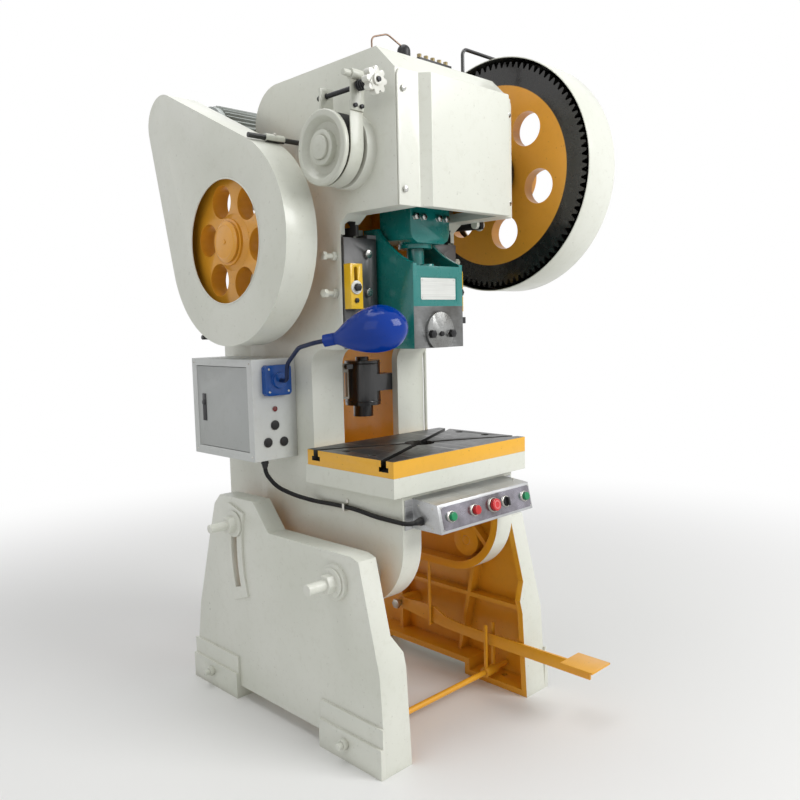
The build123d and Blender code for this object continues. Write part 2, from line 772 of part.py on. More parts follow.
def clutch_sleeve():
    """Keyed sleeve that the gear runs on, with the clutch ring and its stop lug."""
    sleeve = rod_x(journal_r + sleeve_t, gear_x - 8, gear_x + gear_w + 2, 0, crank_z)
    sleeve += rod_x(clutch_r, gear_x - 70, gear_x - 8, 0, crank_z)
    sleeve += block(gear_x - 70, gear_x - 8, -14, 14, crank_z + clutch_r - 12, crank_z + clutch_r + 16)
    return sleeve - rod_x(journal_r, 0, 600, 0, crank_z)


def gear_retainer():
    x0 = gear_x + gear_w + 3
    disc = rod_x(78, x0, x0 + 10, 0, crank_z) + hex_x(40, x0 + 10, x0 + 26, 0, crank_z)
    return disc & block(x0, x0 + 26, -200, 200, 1000, 2200)


def bearing_bushes():
    """Bronze bushes of the crankshaft and of the countershaft."""
    pieces = []
    places = ((0, crank_z, journal_r, 170, 300), (counter_y, counter_z, counter_r, 205, frame_half + 8))
    for y, z, r, x0, x1 in places:
        bush = rod_x(r + bush_wall, x0, x1, y, z) - rod_x(r + run_gap, x0 - 1, x1 + 1, y, z)
        pieces += [bush, mirrored(bush)]
    return pieces


# Connecting rod with its screwed ball end
def connecting_rod():
    pin_z = crank_z + stroke / 2
    rod = rod_x(eye_r, -rod_half, rod_half, 0, pin_z)
    rod += block(-rod_half, rod_half, -eye_r, eye_r, 1690, pin_z)
    low = nut_flange_z + 14
    half = slide_half - cheek_t - 8
    bowl = outline((-60, low), (60, low), (half - 8, low + 12), (half, low + 34), (half, 1705), (-half, 1705),
                   (-half, low + 34), (8 - half, low + 12))
    rod += extrude(Plane.XZ.offset(-70) * bowl, 140, dir=(0, -1, 0))
    rod += rod_z(nut_flange_r, nut_flange_z, nut_flange_z + 16, 0, 0)
    for x in (-70, -36, 36, 70):
        rod += hex_y(20, -82, -70, x, 1650)
    rod -= rod_x(pin_r + run_gap, -200, 200, 0, pin_z)
    return rod - rod_z(screw_r, 1400, 1660, 0, 0)


def ball_screw():
    return rod_z(screw_r, ball_z, 1660, 0, 0) + Pos(0, 0, ball_z) * Sphere(ball_r)


# Flywheel, motor, belts and their carriers
def flywheel():
    x0, x1 = -flywheel_x - flywheel_w, -flywheel_x
    wheel = rod_x(flywheel_r, x0, x1, counter_y, counter_z)
    wheel -= slab_x(Pos(counter_y, counter_z) * (Circle(270) - Circle(75)), x0 - 1, x1 - flywheel_web)
    wheel += rod_x(52, x0 - 14, x1, counter_y, counter_z)
    cone = Cone(92, 74, 12, align=(Align.CENTER, Align.CENTER, Align.MIN))
    wheel += Pos(x1 - flywheel_web, counter_y, counter_z) * Rot(0, -90, 0) * cone
    for i in range(6):
        a = radians(flywheel_hole_turn + 60 * i)
        y, z = counter_y + flywheel_hole_pcr * cos(a), counter_z + flywheel_hole_pcr * sin(a)
        wheel -= rod_x(flywheel_hole_r, x0 - 1, x1 + 1, y, z)
    wheel -= belt_grooves(flywheel_r, belt_r, counter_y, counter_z)
    return wheel - rod_x(counter_r, x0 - 6, x1 + 1, counter_y, counter_z)


def belt_places():
    mid = flywheel_x + flywheel_w / 2
    return [-mid + belt_pitch * (i - (belt_count - 1) / 2) for i in range(belt_count)]


def belt_grooves(rim, seat, y, z):
    """V grooves round a pulley, a little wider and deeper than the belts."""
    floor = seat - belt_t - 3
    grooves = []
    for x in belt_places():
        section = outline((x - 5.4, floor), (x + 5.4, floor), (x + 8.2, rim + 1), (x - 8.2, rim + 1))
        grooves.append(Pos(0, y, z) * revolve(Plane.XZ * section, Axis.X))
    return grooves


def v_belts():
    outer = hull_face(counter_y, counter_z, belt_r, motor_y, motor_z, belt_small_r)
    inner = hull_face(counter_y, counter_z, belt_r - belt_t, motor_y, motor_z, belt_small_r - belt_t)
    return [slab_x(outer - inner, x - belt_w / 2, x + belt_w / 2) for x in belt_places()]


def motor_pulley():
    x0, x1 = -flywheel_x - flywheel_w, -flywheel_x
    rim = belt_small_r + 8
    pulley = rod_x(rim, x0, x1, motor_y, motor_z)
    pulley -= belt_grooves(rim, belt_small_r, motor_y, motor_z)
    return pulley + rod_x(14, x1, motor_x - motor_len + 36, motor_y, motor_z)


def motor():
    """Finned foot motor: barrel, end shields, fan cover, feet and terminal box."""
    x0, x1 = motor_x - motor_len, motor_x
    body = rod_x(motor_r, x0 + 30, x1 - 60, motor_y, motor_z)
    for i in range(36):
        fin = Pos((x0 + x1) / 2 - 15, 0, motor_r + fin_h / 2 - 1) * Box(motor_len - 100, 3, fin_h)
        body += Pos(0, motor_y, motor_z) * Rot(10 * i, 0, 0) * fin
    body += rod_x(motor_r + 6, x0 + 12, x0 + 34, motor_y, motor_z) + rod_x(46, x0, x0 + 12, motor_y, motor_z)
    body += rod_x(motor_r + 4, x1 - 62, x1, motor_y, motor_z)
    for x in (x0 + 50, x1 - 100):
        body += block(x, x + 40, motor_y - 90, motor_y + 90, motor_z - motor_r - 22, motor_z - motor_r + 14)
    body += block(x0 + 90, x0 + 190, motor_y + 60, motor_y + 128, motor_z - 45, motor_z + 45)
    return body - rod_x(14 + run_gap, x0 - 1, x0 + 40, motor_y, motor_z)


def motor_bracket():
    x0, x1 = motor_x - motor_len + 20, motor_x - 30
    top = motor_z - motor_r - 22
    plate = block(x0, x1, head_rear_y, motor_y + 120, top - 14, top)
    plate += block(x0, x1, head_rear_y, head_rear_y + 14, top - 230, top)
    for x in (x0 + 20, x1 - 36):
        gusset = outline((head_rear_y, top - 220), (motor_y + 100, top - 14), (head_rear_y, top - 14))
        plate += slab_x(gusset, x, x + 16)
    for x in (x0 + 70, x1 - 70):
        for z in (top - 60, top - 180):
            plate += hex_y(28, head_rear_y + 14, head_rear_y + 30, x, z)
    return plate


# Guards
def belt_guard():
    round_r, tip_r, tip_z = belt_guard_r, belt_guard_tip_r, motor_z + 3
    face = hull_face(counter_y, counter_z, round_r, motor_y, tip_z, tip_r)
    inner = hull_face(counter_y, counter_z, round_r - guard_t, motor_y, tip_z, tip_r - guard_t)
    x0 = -belt_guard_x - belt_guard_w
    guard = slab_x(face - inner, x0, -belt_guard_x)
    guard += slab_x(face - Pos(counter_y, counter_z) * Circle(belt_window_r), x0, x0 + guard_t)
    for y, z in belt_stays():
        guard += rod_x(stay_tube_r, x0 + 64, -belt_guard_x + 18, y, z)
        guard -= rod_x(stay_r, x0 - 1, -belt_guard_x + 20, y, z)
    return guard


def gear_guard():
    def two_rounds(less):
        """The ring round the gear and the lobe round the pinion, smaller by less."""
        lobe = Pos(counter_y, counter_z) * Circle(pinion_lobe_r - less)
        return Pos(0, crank_z) * Circle(gear_guard_r - less) + lobe

    face, inner = two_rounds(0), two_rounds(guard_t)
    x1 = gear_guard_x + gear_guard_w
    guard = slab_x(face - inner, gear_guard_x, x1)
    guard += slab_x(face - Pos(0, crank_z) * Circle(gear_window_r), x1 - guard_t, x1)
    for y, z in gear_stays():
        guard += rod_x(stay_tube_r, gear_guard_x, gear_guard_x + 80, y, z)
        guard -= rod_x(stay_r, gear_guard_x - 1, gear_guard_x + 81, y, z)
    return guard


def belt_stays():
    """Places of the rods that carry the belt guard, just outside its ring."""
    r = belt_guard_r + stay_tube_r - 2
    return [(counter_y + r * cos(radians(a)), counter_z + r * sin(radians(a))) for a in (117, -62)]


def gear_stays():
    """Places of the straight stays, just outside the gear guard's ring."""
    r = gear_guard_r + stay_tube_r - 1
    return [(r * cos(radians(a)), crank_z + r * sin(radians(a))) for a in (-62, 38)]


def guard_stays():
    """Rods that carry the two guards, and the bent stay on the head."""
    x0 = -belt_guard_x - belt_guard_w + 2
    pieces = [rod_x(stay_r, x0, -frame_half + 20, y, z) for y, z in belt_stays()]
    pieces += [rod_x(stay_r, frame_half, gear_guard_x + 90, y, z) for y, z in gear_stays()]
    ring_top = crank_z + gear_guard_r
    path = FilletPolyline((250, 0, head_top_z), (250, 0, ring_top + 6), (490, 0, ring_top + 6), radius=22)
    bent = sweep(Plane(path @ 0, z_dir=path % 0) * Circle(6), path)
    return pieces + [bent]


# Electrical boxes
def e_box():
    box = block(-ebox_x, -frame_half, ebox_y0, ebox_y1, ebox_z0, ebox_z1)
    box -= block(-ebox_x + sheet, -frame_half - sheet, ebox_y0 + sheet, ebox_y1 - sheet,
                 ebox_z0 + sheet, ebox_z1 - sheet)
    return box - block(-ebox_x - 1, -ebox_x + sheet + 1, door_y0 - hinge_gap, door_y1 + door_gap,
                       door_z0 - door_gap, door_z1 + door_gap)


def contactor_plate():
    """Mounting plate with contactors, breaker and transformer inside the box."""
    x1 = -frame_half - sheet
    plate = block(x1 - 4, x1, ebox_y0 + 30, ebox_y1 - 30, ebox_z0 + 30, ebox_z1 - 30)
    for i in range(4):
        y0 = ebox_y0 + 58 + 62 * i
        plate += block(x1 - 80, x1 - 4, y0, y0 + 48, ebox_z1 - 130, ebox_z1 - 50)
    return plate + block(x1 - 90, x1 - 4, ebox_y0 + 60, ebox_y0 + 160, ebox_z0 + 50, ebox_z0 + 140)


def e_box_door():
    """Pan door set in the border, with its lock strip."""
    x0 = -ebox_x + 0.5
    door = block(x0, x0 + door_t, door_y0, door_y1, door_z0, door_z1)
    door -= block(x0 + 2, x0 + door_t + 1, door_y0 + 2, door_y1 - 2, door_z0 + 2, door_z1 - 2)
    door += block(x0 - 3, x0 + 2, door_y1 - 54, door_y1 - 32, 996, 1090)
    return door + rod_x(9, x0 - 7, x0, door_y1 - 43, 1060)


def e_box_grommets():
    """Indicator and three cable grommets on the box's front."""
    y = ebox_y0
    places = ((-352, 1047, 9), (-354, 993, 16), (-384, 938, 16), (-320, 935, 16))
    pieces = [rod_y(r, y - 5, y, x, z) for x, z, r in places]
    gland = rod_z(12, ebox_z0 - 8, ebox_z0, -388, y + 16)
    return pieces + [gland - rod_z(cable_r, 0, 1000, -388, y + 16)]


def lamp_socket():
    y = ebox_y0
    base = block(-399, -297, y - 24, y, 1092, 1192)
    base = chamfer(base.edges().filter_by(Axis.Y), 8)
    return base + rod_y(26, y - 36, y - 24, -348, 1142)


def lamp_arm():
    """Gooseneck from the socket to the lamp's collar."""
    path = FilletPolyline(*neck_points(), radius=[18, 50, 60, 40])
    return sweep(Plane(path @ 0, z_dir=path % 0) * Circle(neck_r), path)


def neck_points():
    end = Vector(*lamp_base())
    before = end - Vector(*lamp_axis).normalized() * 34
    return [(-348, ebox_y0 - 36.3, 1142), (-348, 252, 1142), (-356, 238, 1196), (-366, 160, 1250),
            before, end]


def lamp_base():
    return (-356, 46, 1271)


def lamp_plane():
    """Plane at the lamp's collar whose Z runs along the shade's axis."""
    return Plane(origin=lamp_base(), z_dir=lamp_axis, x_dir=(0.84, 0.54, 0))


def lamp_profile(r, start, length, inset):
    """Half outline of the teardrop shade about its axis, as (radius, along)."""
    points = [(15 - inset, start), (17 - inset, 30), (34 - inset, 62), (58 - inset, 105), (r - inset, 165),
              (r * 0.88 - inset, 215), (r * 0.45 - inset, 252 - inset), (0, length - inset)]
    return points


def shade_solid(inset, start):
    points = lamp_profile(lamp_r, start, lamp_len, inset)
    curve = Spline(*points[1:], tangents=[(0.2, 1), (-1, 0)])
    closing = [Line(points[-1], (0, start)), Line((0, start), points[0]), Line(points[0], points[1])]
    side = make_face([curve] + closing)
    return revolve(Plane.XZ * side, Axis.Z)


def lamp_shade():
    """Teardrop shade with its mouth facing down, a collar, and the bulb inside."""
    shell = shade_solid(0, 0) - shade_solid(2, 40)
    shell -= Rot(0, 0, lamp_turn) * Pos(0, -100, 170) * Rot(9, 0, 0) * Box(400, 140, 230)
    shell += Cylinder(19, 34, align=(Align.CENTER, Align.CENTER, Align.MIN))
    bulb = Pos(0, 0, 70) * Cylinder(14, 90) + Pos(0, -2, 125) * Sphere(30)
    return lamp_plane().location * (shell + bulb)


def control_box():
    """Folded sheet box on the frame's front, with end flanges and an inclined front."""
    y0 = front_wall_y
    section = outline((y0, panel_top_z + 9), (panel_top_y, panel_top_z), (panel_bottom_y, panel_bottom_z),
                      (y0, panel_bottom_z))
    hollow = offset(section, -sheet, kind=Kind.INTERSECTION)
    box = slab_x(section, -panel_half, panel_half) - slab_x(hollow, -panel_half + sheet, panel_half - sheet)
    box += block(-frame_half + 8, frame_half - 8, y0 - sheet, y0, panel_bottom_z, panel_top_z + 6)
    for x in button_places():
        box -= button_frame(x) * Pos(0, 0, -sheet) * Cylinder(11.2, 5 * sheet)
    return box - rod_x(cable_r, -panel_half - 1, -panel_half + sheet + 1, -216, 731)


def button_places():
    return (-169, -63, 27, 89, 187)


def button_frame(x):
    """Location on the inclined front: Z points out of the panel."""
    lean = degrees(atan((panel_top_y - panel_bottom_y) / (panel_top_z - panel_bottom_z)))
    share = (button_z - panel_bottom_z) / (panel_top_z - panel_bottom_z)
    y = panel_bottom_y + (panel_top_y - panel_bottom_y) * share
    return Pos(x, y, button_z) * Rot(90 - lean, 0, 0)


def push_button(x, head_r, head_h):
    """Mushroom or flat head on a stem that goes through the panel."""
    head = Pos(0, 0, 6 + head_h / 2) * Cylinder(head_r, head_h)
    head = fillet(head.edges().sort_by(Axis.Z)[-1:], 2)
    return button_frame(x) * (head + Pos(0, 0, -4) * Cylinder(11, 22))


def selector_switch():
    knob = Pos(0, 0, 4.5) * Cylinder(14, 8) + Pos(0, 0, 13) * Box(7, 26, 10)
    return button_frame(button_places()[3]) * (knob + Pos(0, 0, -5) * Cylinder(11, 20))


# The cable is held along its whole way: box gland, clip on the frame's side, control box
def cable_points():
    return [(-388, ebox_y0 + 16, ebox_z0), (-388, ebox_y0 + 16, 836), (-360, 318, 788), (-314, 280, 756),
            (-276, 214, 738), (-273, 125, 741), (-273, 20, 741), (-273.5, -66, 732), (-276, -140, 731),
            (-276, -216, 731), (-panel_half, -216, 731)]


def panel_cable():
    points = [Vector(*p) for p in cable_points()]
    runs = [(b - a).length for a, b in zip(points, points[1:])]
    radii = []
    for i in range(1, len(points) - 1):
        turn = (points[i] - points[i - 1]).get_angle(points[i + 1] - points[i])
        radii.append(0.45 * min(runs[i - 1], runs[i]) / tan(radians(turn / 2)))
    print("cable radii", [round(r) for r in radii], "length", round(sum(runs)))
    path = FilletPolyline(*points, radius=radii)
    return sweep(Plane(path @ 0, z_dir=path % 0) * Circle(cable_r), path)


def cable_clip():
    """Saddle clip that holds the cable to the frame's side."""
    clip = block(-283, -frame_half, 64, 74, 729, 753) - rod_y(cable_r + 0.2, 50, 90, -273, 741)
    return clip + block(-266, -frame_half, 64, 74, 753, 765)


# Pedal, pull rod and the trip lever of the clutch
def pedal_bottom(y):
    """Height of the lever's lower edge between the two bends."""
    return 158 + 20 * (y - 150) / (pedal_pin_y - 170)


def pedal_lever():
    side = outline((pedal_pin_y + 18, 205), (pedal_pin_y - 20, 222), (260, 228), (205, 224), (150, 200), (70, 192),
                   (pedal_front_y, 196), (pedal_front_y, 150), (0, 152), (150, pedal_bottom(150)),
                   (pedal_pin_y - 20, pedal_bottom(pedal_pin_y - 20)), (pedal_pin_y + 18, 190))
    lever = slab_x(side, pedal_x, pedal_x + pedal_t)
    lever += block(pedal_x - 50, pedal_x + pedal_t + 50, pedal_front_y - 40, pedal_front_y + 80, 196, 202)
    return lever - rod_x(pedal_pin_r + run_gap, 0, 400, pedal_pin_y, pedal_pin_z)


def pedal_pin():
    end = pedal_x - 14
    pin = rod_x(pedal_pin_r, end, leg_out - leg_wall, pedal_pin_y, pedal_pin_z)
    return pin + hex_x(34, end - 14, end, pedal_pin_y, pedal_pin_z)


def pedal_fork():
    """U guide clamped on the front tie rod, one prong on each side of the lever."""
    y = tie_front_y
    x0, x1 = pedal_x - 20, pedal_x + pedal_t + 14
    fork = rod_x(18, x0 - 10, x1 + 10, y, tie_z)
    for x in (x0, x1):
        fork += block(x - 5, x + 5, y - 5, y + 5, tie_z, 230)
    return fork - rod_x(tie_r, 0, 400, y, tie_z)


def pull_rod():
    hook_z = pedal_bottom(pull_y) - pull_r - 1
    rod = rod_z(pull_r, hook_z, trip_z - 5, pull_x, pull_y) + Pos(pull_x, pull_y, hook_z) * Sphere(pull_r)
    rod += rod_x(pull_r, pull_x, pedal_x + pedal_t, pull_y, hook_z)
    eye = rod_x(15, pull_x - 5, pull_x + 5, pull_y, trip_z + 6)
    eye -= rod_x(9, pull_x - 10, pull_x + 10, pull_y, trip_z + 6)
    return rod - rod_x(9, pull_x - 10, pull_x + 10, pull_y, trip_z + 6) + eye


def trip_lever():
    """Lever on the frame's right side; its nose holds the clutch, the pedal draws it down."""
    x0 = pull_x + 6.5
    side = outline((trip_y - 22, trip_z - 16), (trip_y - 22, trip_z + 16), (50, trip_z + 28), (72, trip_z + 72),
                   (94, trip_z + 72), (104, trip_z + 28), (pull_y + 16, trip_z + 20), (pull_y + 16, trip_z - 8))
    lever = slab_x(side, x0, x0 + 12)
    lever += block(x0 + 12, gear_x - 20, 72, 94, trip_z + 50, trip_z + 72)
    lever += rod_x(6, pull_x - 5.5, x0, pull_y, trip_z + 6)
    lever -= rod_x(14 + run_gap, x0 - 1, x0 + 20, trip_y, trip_z)
    return lever


def trip_pin():
    x0 = pull_x + 6.5
    return rod_x(14, frame_half, x0 + 13, trip_y, trip_z) + rod_x(20, x0 + 13, x0 + 19, trip_y, trip_z)


# Lubrication
def oil_distributor():
    """Block of fittings on the head, an oil cup and the thin tubes between them."""
    top = head_top_z
    piece = block(-62, 84, -96, -66, top, top + 16)
    for i in range(5):
        piece += rod_z(7, top + 16, top + 30, -48 + 30 * i, -81)
    piece += rod_z(20, top, top + 22, -118, -84) + Pos(-118, -84, top + 22) * Sphere(20)
    path = FilletPolyline((-236, -70, top), (-236, -70, top + 42), (-180, -78, top + 60), (-124, -84, top + 34),
                          radius=[18, 26])
    return piece + sweep(Plane(path @ 0, z_dir=path % 0) * Circle(2.5), path)


def lubricator():
    """Hand oil pump inside the throat, on the right column."""
    top = pump_z + pump_h
    body = rod_z(pump_r, pump_z, top, pump_x, pump_y) + rod_z(24, top, top + 13, pump_x, pump_y)
    body += rod_z(36, pump_z - 42, pump_z, pump_x, pump_y)
    body += block(pump_x, 150, throat + flange_t, pump_y, pump_z + 50, pump_z + 110)
    ear_x, ear_z = pump_x - pump_r, top - 19
    for y in (pump_y - 20, pump_y + 8):
        body += block(ear_x - 27, ear_x + 10, y, y + 12, ear_z - 8, ear_z + 8)
    return body + rod_y(5, pump_y - 20, pump_y + 20, ear_x - 21, ear_z)


def pump_lever():
    """Looped lever on the pump's side."""
    x, z = pump_x - pump_r - 21, pump_z + pump_h - 19
    loop = block(x - 13, x + 13, pump_y - 6, pump_y + 6, z - 115, z + 12)
    loop -= block(x - 7, x + 7, pump_y - 22, pump_y + 18, z - 107, z - 20)
    return loop - rod_y(5 + run_gap, pump_y - 22, pump_y + 23, x, z)


def build():
    save("left_leg", left_leg())
    save("right_leg", right_leg())
    save("tie_rods", tie_rods())
    save("pivot_bolts", pivot_bolts())
    save("slot_bolts", slot_bolts())
    save("pedal_fork", pedal_fork())
    save("pedal_pin", pedal_pin())
    save("pedal_lever", pedal_lever())
    save("pull_rod", pull_rod())
    save("trip_lever", trip_lever())
    save("frame", frame() + trip_pin())
    save("bolster_plate", bolster_plate())
    save("cap_screws", cap_screws())
    save("front_cover", front_cover())
    save("left_gib", left_gib())
    save("right_gib", mirrored(left_gib()))
    save("gib_adjusters", gib_adjusters())
    save("knockout_stops", knockout_stops())
    save("slide", slide())
    save("shank_cap", shank_cap())
    save("knockout_bar", knockout_bar())
    save("crankshaft", crankshaft())
    save("brake_drum", brake_drum())
    save("brake_band", brake_band())
    save("band_bracket", band_bracket())
    save("tension_rod", tension_rod())
    save("brake_spring", brake_spring())
    save("star_knob", star_knob())
    save("bull_gear", bull_gear())
    save("pinion_shaft", pinion_shaft())
    save("clutch_sleeve", [clutch_sleeve(), gear_retainer()])
    save("bearing_bushes", bearing_bushes())
    save("connecting_rod", connecting_rod())
    save("ball_screw", ball_screw())
    save("flywheel", flywheel())
    save("motor_pulley", motor_pulley())
    save("v_belts", v_belts())
    save("motor", motor())
    save("motor_bracket", motor_bracket())
    save("belt_guard", belt_guard())
    save("gear_guard", gear_guard())
    save("guard_stays", guard_stays())
    save("e_box", e_box())
    save("contactor_plate", contactor_plate())
    save("e_box_door", e_box_door())
    save("e_box_grommets", e_box_grommets())
    save("lamp_socket", lamp_socket())
    save("lamp_arm", lamp_arm())
    save("lamp_shade", lamp_shade())
    save("control_box", control_box())
    save("panel_cable", panel_cable())
    save("cable_clip", cable_clip())
    save("jog_button", push_button(button_places()[0], 13, 9))
    save("stop_button", push_button(button_places()[1], 14, 12))
    save("emergency_button", push_button(button_places()[2], 19, 12))
    save("run_button", push_button(button_places()[4], 13, 9))
    save("selector_switch", selector_switch())
    save("oil_distributor", oil_distributor())
    save("lubricator", lubricator())
    save("pump_lever", pump_lever())


build()
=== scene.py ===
import json
import math

import bmesh
import bpy
from mathutils import Matrix, Vector
from mathutils.bvhtree import BVHTree


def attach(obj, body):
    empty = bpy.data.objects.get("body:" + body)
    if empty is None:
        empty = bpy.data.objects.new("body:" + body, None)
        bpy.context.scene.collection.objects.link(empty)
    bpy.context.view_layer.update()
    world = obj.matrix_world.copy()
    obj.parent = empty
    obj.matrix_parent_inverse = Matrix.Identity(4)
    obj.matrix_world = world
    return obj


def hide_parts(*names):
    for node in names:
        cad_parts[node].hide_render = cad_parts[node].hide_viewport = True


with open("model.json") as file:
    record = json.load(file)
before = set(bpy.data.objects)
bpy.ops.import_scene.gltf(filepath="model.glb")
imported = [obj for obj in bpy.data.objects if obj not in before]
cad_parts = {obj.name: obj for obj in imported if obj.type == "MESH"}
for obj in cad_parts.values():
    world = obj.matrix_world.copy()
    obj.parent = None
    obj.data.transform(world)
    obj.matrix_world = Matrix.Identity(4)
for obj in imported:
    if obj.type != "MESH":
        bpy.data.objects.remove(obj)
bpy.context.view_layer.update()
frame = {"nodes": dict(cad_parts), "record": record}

# Camera: the press is seen from its left front at about chin height, a little from above,
# with a moderately wide lens. slide_y is the slide's centre line in the row frame, and the
# press's own sizes below are drawing millimetres about that line.
slide_y = -0.297
azimuth, pitch, roll = math.radians(44.48), math.radians(-5.68), math.radians(-1.34)
camera_place = (-1.8847, -1.8319 + slide_y, 1.3258)
picture_width, focal_length, sensor_width = 800, 795.06, 36.0
forward = Vector((math.sin(azimuth) * math.cos(pitch), math.cos(azimuth) * math.cos(pitch), math.sin(pitch)))
level = Vector((math.cos(azimuth), -math.sin(azimuth), 0.0))
upright = level.cross(forward)
camera_x = math.cos(roll) * level + math.sin(roll) * upright
camera_y = -math.sin(roll) * level + math.cos(roll) * upright
camera = bpy.data.objects.new("camera", bpy.data.cameras.new("camera"))
bpy.context.scene.collection.objects.link(camera)
camera.data.sensor_width = sensor_width
camera.data.lens = focal_length / picture_width * sensor_width
turn = Matrix((camera_x, camera_y, -forward)).transposed().to_4x4()
camera.matrix_world = Matrix.Translation(camera_place) @ turn
bpy.context.scene.camera = camera
bpy.context.scene.view_settings.view_transform = "Standard"


# Workshop floor: a pale floor that keeps the press's shadow and fades to the white surround a few
# metres away, so that no horizon shows.
def put(tree, kind, given=(), **settings):
    """Adds a node; given sets or links its inputs, settings its other values."""
    node = tree.nodes.new(kind)
    for name, value in settings.items():
        setattr(node, name, value)
    for name, value in dict(given).items():
        if isinstance(value, bpy.types.NodeSocket):
            tree.links.new(value, node.inputs[name])
        else:
            node.inputs[name].default_value = value
    return node


def seen_plainly(tree):
    """1 where the camera, a gloss or a glass looks at the surround, not its light."""
    rays = put(tree, "ShaderNodeLightPath")
    most = put(tree, "ShaderNodeMath", {0: rays.outputs["Is Camera Ray"], 1: rays.outputs["Is Glossy Ray"]},
               operation="MAXIMUM")
    return put(tree, "ShaderNodeMath", {0: most.outputs[0], 1: rays.outputs["Is Transmission Ray"]},
               operation="MAXIMUM").outputs[0]


fade_start, fade_end = 1.3, 4.2
floor_mesh = bpy.data.meshes.new("studio_floor")
bm = bmesh.new()
bmesh.ops.create_grid(bm, x_segments=1, y_segments=1, size=40)
bm.to_mesh(floor_mesh)
bm.free()
floor = bpy.data.objects.new("studio_floor", floor_mesh)
bpy.context.scene.collection.objects.link(floor)
floor_paint = bpy.data.materials.new("studio_floor")
floor_paint.use_nodes = True
tree = floor_paint.node_tree
shader = tree.nodes["Principled BSDF"]
shader.inputs["Base Color"].default_value = (0.82, 0.82, 0.81, 1)
shader.inputs["Roughness"].default_value = 0.55
place = put(tree, "ShaderNodeTexCoord")
far = put(tree, "ShaderNodeVectorMath", {0: place.outputs["Object"]}, operation="LENGTH")
fade = put(tree, "ShaderNodeMapRange", {"Value": far.outputs["Value"], "From Min": fade_start, "From Max": fade_end},
           interpolation_type="SMOOTHSTEP")
share = put(tree, "ShaderNodeMath", {0: fade.outputs["Result"], 1: seen_plainly(tree)}, operation="MULTIPLY")
white = put(tree, "ShaderNodeEmission", {"Color": (1, 1, 1, 1), "Strength": 1.0})
blend = put(tree, "ShaderNodeMixShader", {0: share.outputs[0], 1: shader.outputs["BSDF"], 2: white.outputs[0]})
tree.links.new(blend.outputs[0], tree.nodes["Material Output"].inputs["Surface"])
floor_mesh.materials.append(floor_paint)

# Light: one large soft lamp from the front right, as from the workshop's windows, a weaker one
# from the left and one from above, with a plain white surround.
surround_light, surround_seen = 0.38, 1.0
world = bpy.data.worlds.new("surround")
world.use_nodes = True
bpy.context.scene.world = world
sky = world.node_tree.nodes["Background"]
strength = put(world.node_tree, "ShaderNodeMapRange",
               {"Value": seen_plainly(world.node_tree), "To Min": surround_light, "To Max": surround_seen})
world.node_tree.links.new(strength.outputs["Result"], sky.inputs["Strength"])
sky.inputs["Color"].default_value = (1, 1, 1, 1)


def soft_lamp(name, place, aim, size, power):
    lamp = bpy.data.lights.new(name, "AREA")
    lamp.size = size
    lamp.energy = power
    holder = bpy.data.objects.new(name, lamp)
    bpy.context.scene.collection.objects.link(holder)
    look = (Vector(place) - Vector(aim)).to_track_quat("Z", "Y").to_matrix().to_4x4()
    holder.matrix_world = Matrix.Translation(place) @ look


soft_lamp("front_light", (1.6, -4.6, 3.6), (0, -0.2, 1.1), 2.6, 185)
soft_lamp("left_light", (-4.4, -1.2, 3.0), (0, 0, 1.0), 3.0, 24)
soft_lamp("top_light", (-0.6, 0.4, 5.2), (0, 0, 1.0), 3.0, 85)


# Legs: two iron castings, filled and sprayed, cream outside and orange yellow inside. Each
# stands on two bolted feet and carries the press on a pivot bolt and a bolt in an arc slot.
def noise(tree, scale, detail=2.0, rough=0.5):
    """Soft noise that keeps its place on the piece."""
    place = put(tree, "ShaderNodeTexCoord")
    return put(tree, "ShaderNodeTexNoise", {"Vector": place.outputs["Object"], "Scale": scale, "Detail": detail,
                                            "Roughness": rough}).outputs["Fac"]


def spread(tree, value, low, high, to_low=0.0, to_high=1.0):
    return put(tree, "ShaderNodeMapRange", {"Value": value, "From Min": low, "From Max": high, "To Min": to_low,
                                            "To Max": to_high}).outputs["Result"]


def reckon(tree, way, a, b=0.0):
    return put(tree, "ShaderNodeMath", {0: a, 1: b}, operation=way).outputs[0]


def mixed(tree, share, under, over, way="MIX"):
    """Lays one colour over another."""
    return put(tree, "ShaderNodeMix", {0: share, 6: under, 7: over}, data_type="RGBA", blend_type=way).outputs[2]


def bumped(tree, height, strength, distance, under=None):
    given = {"Height": height, "Strength": strength, "Distance": distance}
    if under is not None:
        given["Normal"] = under
    return put(tree, "ShaderNodeBump", given).outputs["Normal"]


def new_group(name, inputs, outputs):
    """A shared effect with named inputs and outputs."""
    tree = bpy.data.node_groups.new(name, "ShaderNodeTree")
    for title, value in inputs.items():
        kind = "NodeSocketColor" if isinstance(value, tuple) else "NodeSocketFloat"
        tree.interface.new_socket(title, in_out="INPUT", socket_type=kind).default_value = value
    for title in outputs:
        kind = {"Colour": "NodeSocketColor", "Normal": "NodeSocketVector"}.get(title, "NodeSocketFloat")
        tree.interface.new_socket(title, in_out="OUTPUT", socket_type=kind)
    return tree, put(tree, "NodeGroupInput").outputs, put(tree, "NodeGroupOutput").inputs


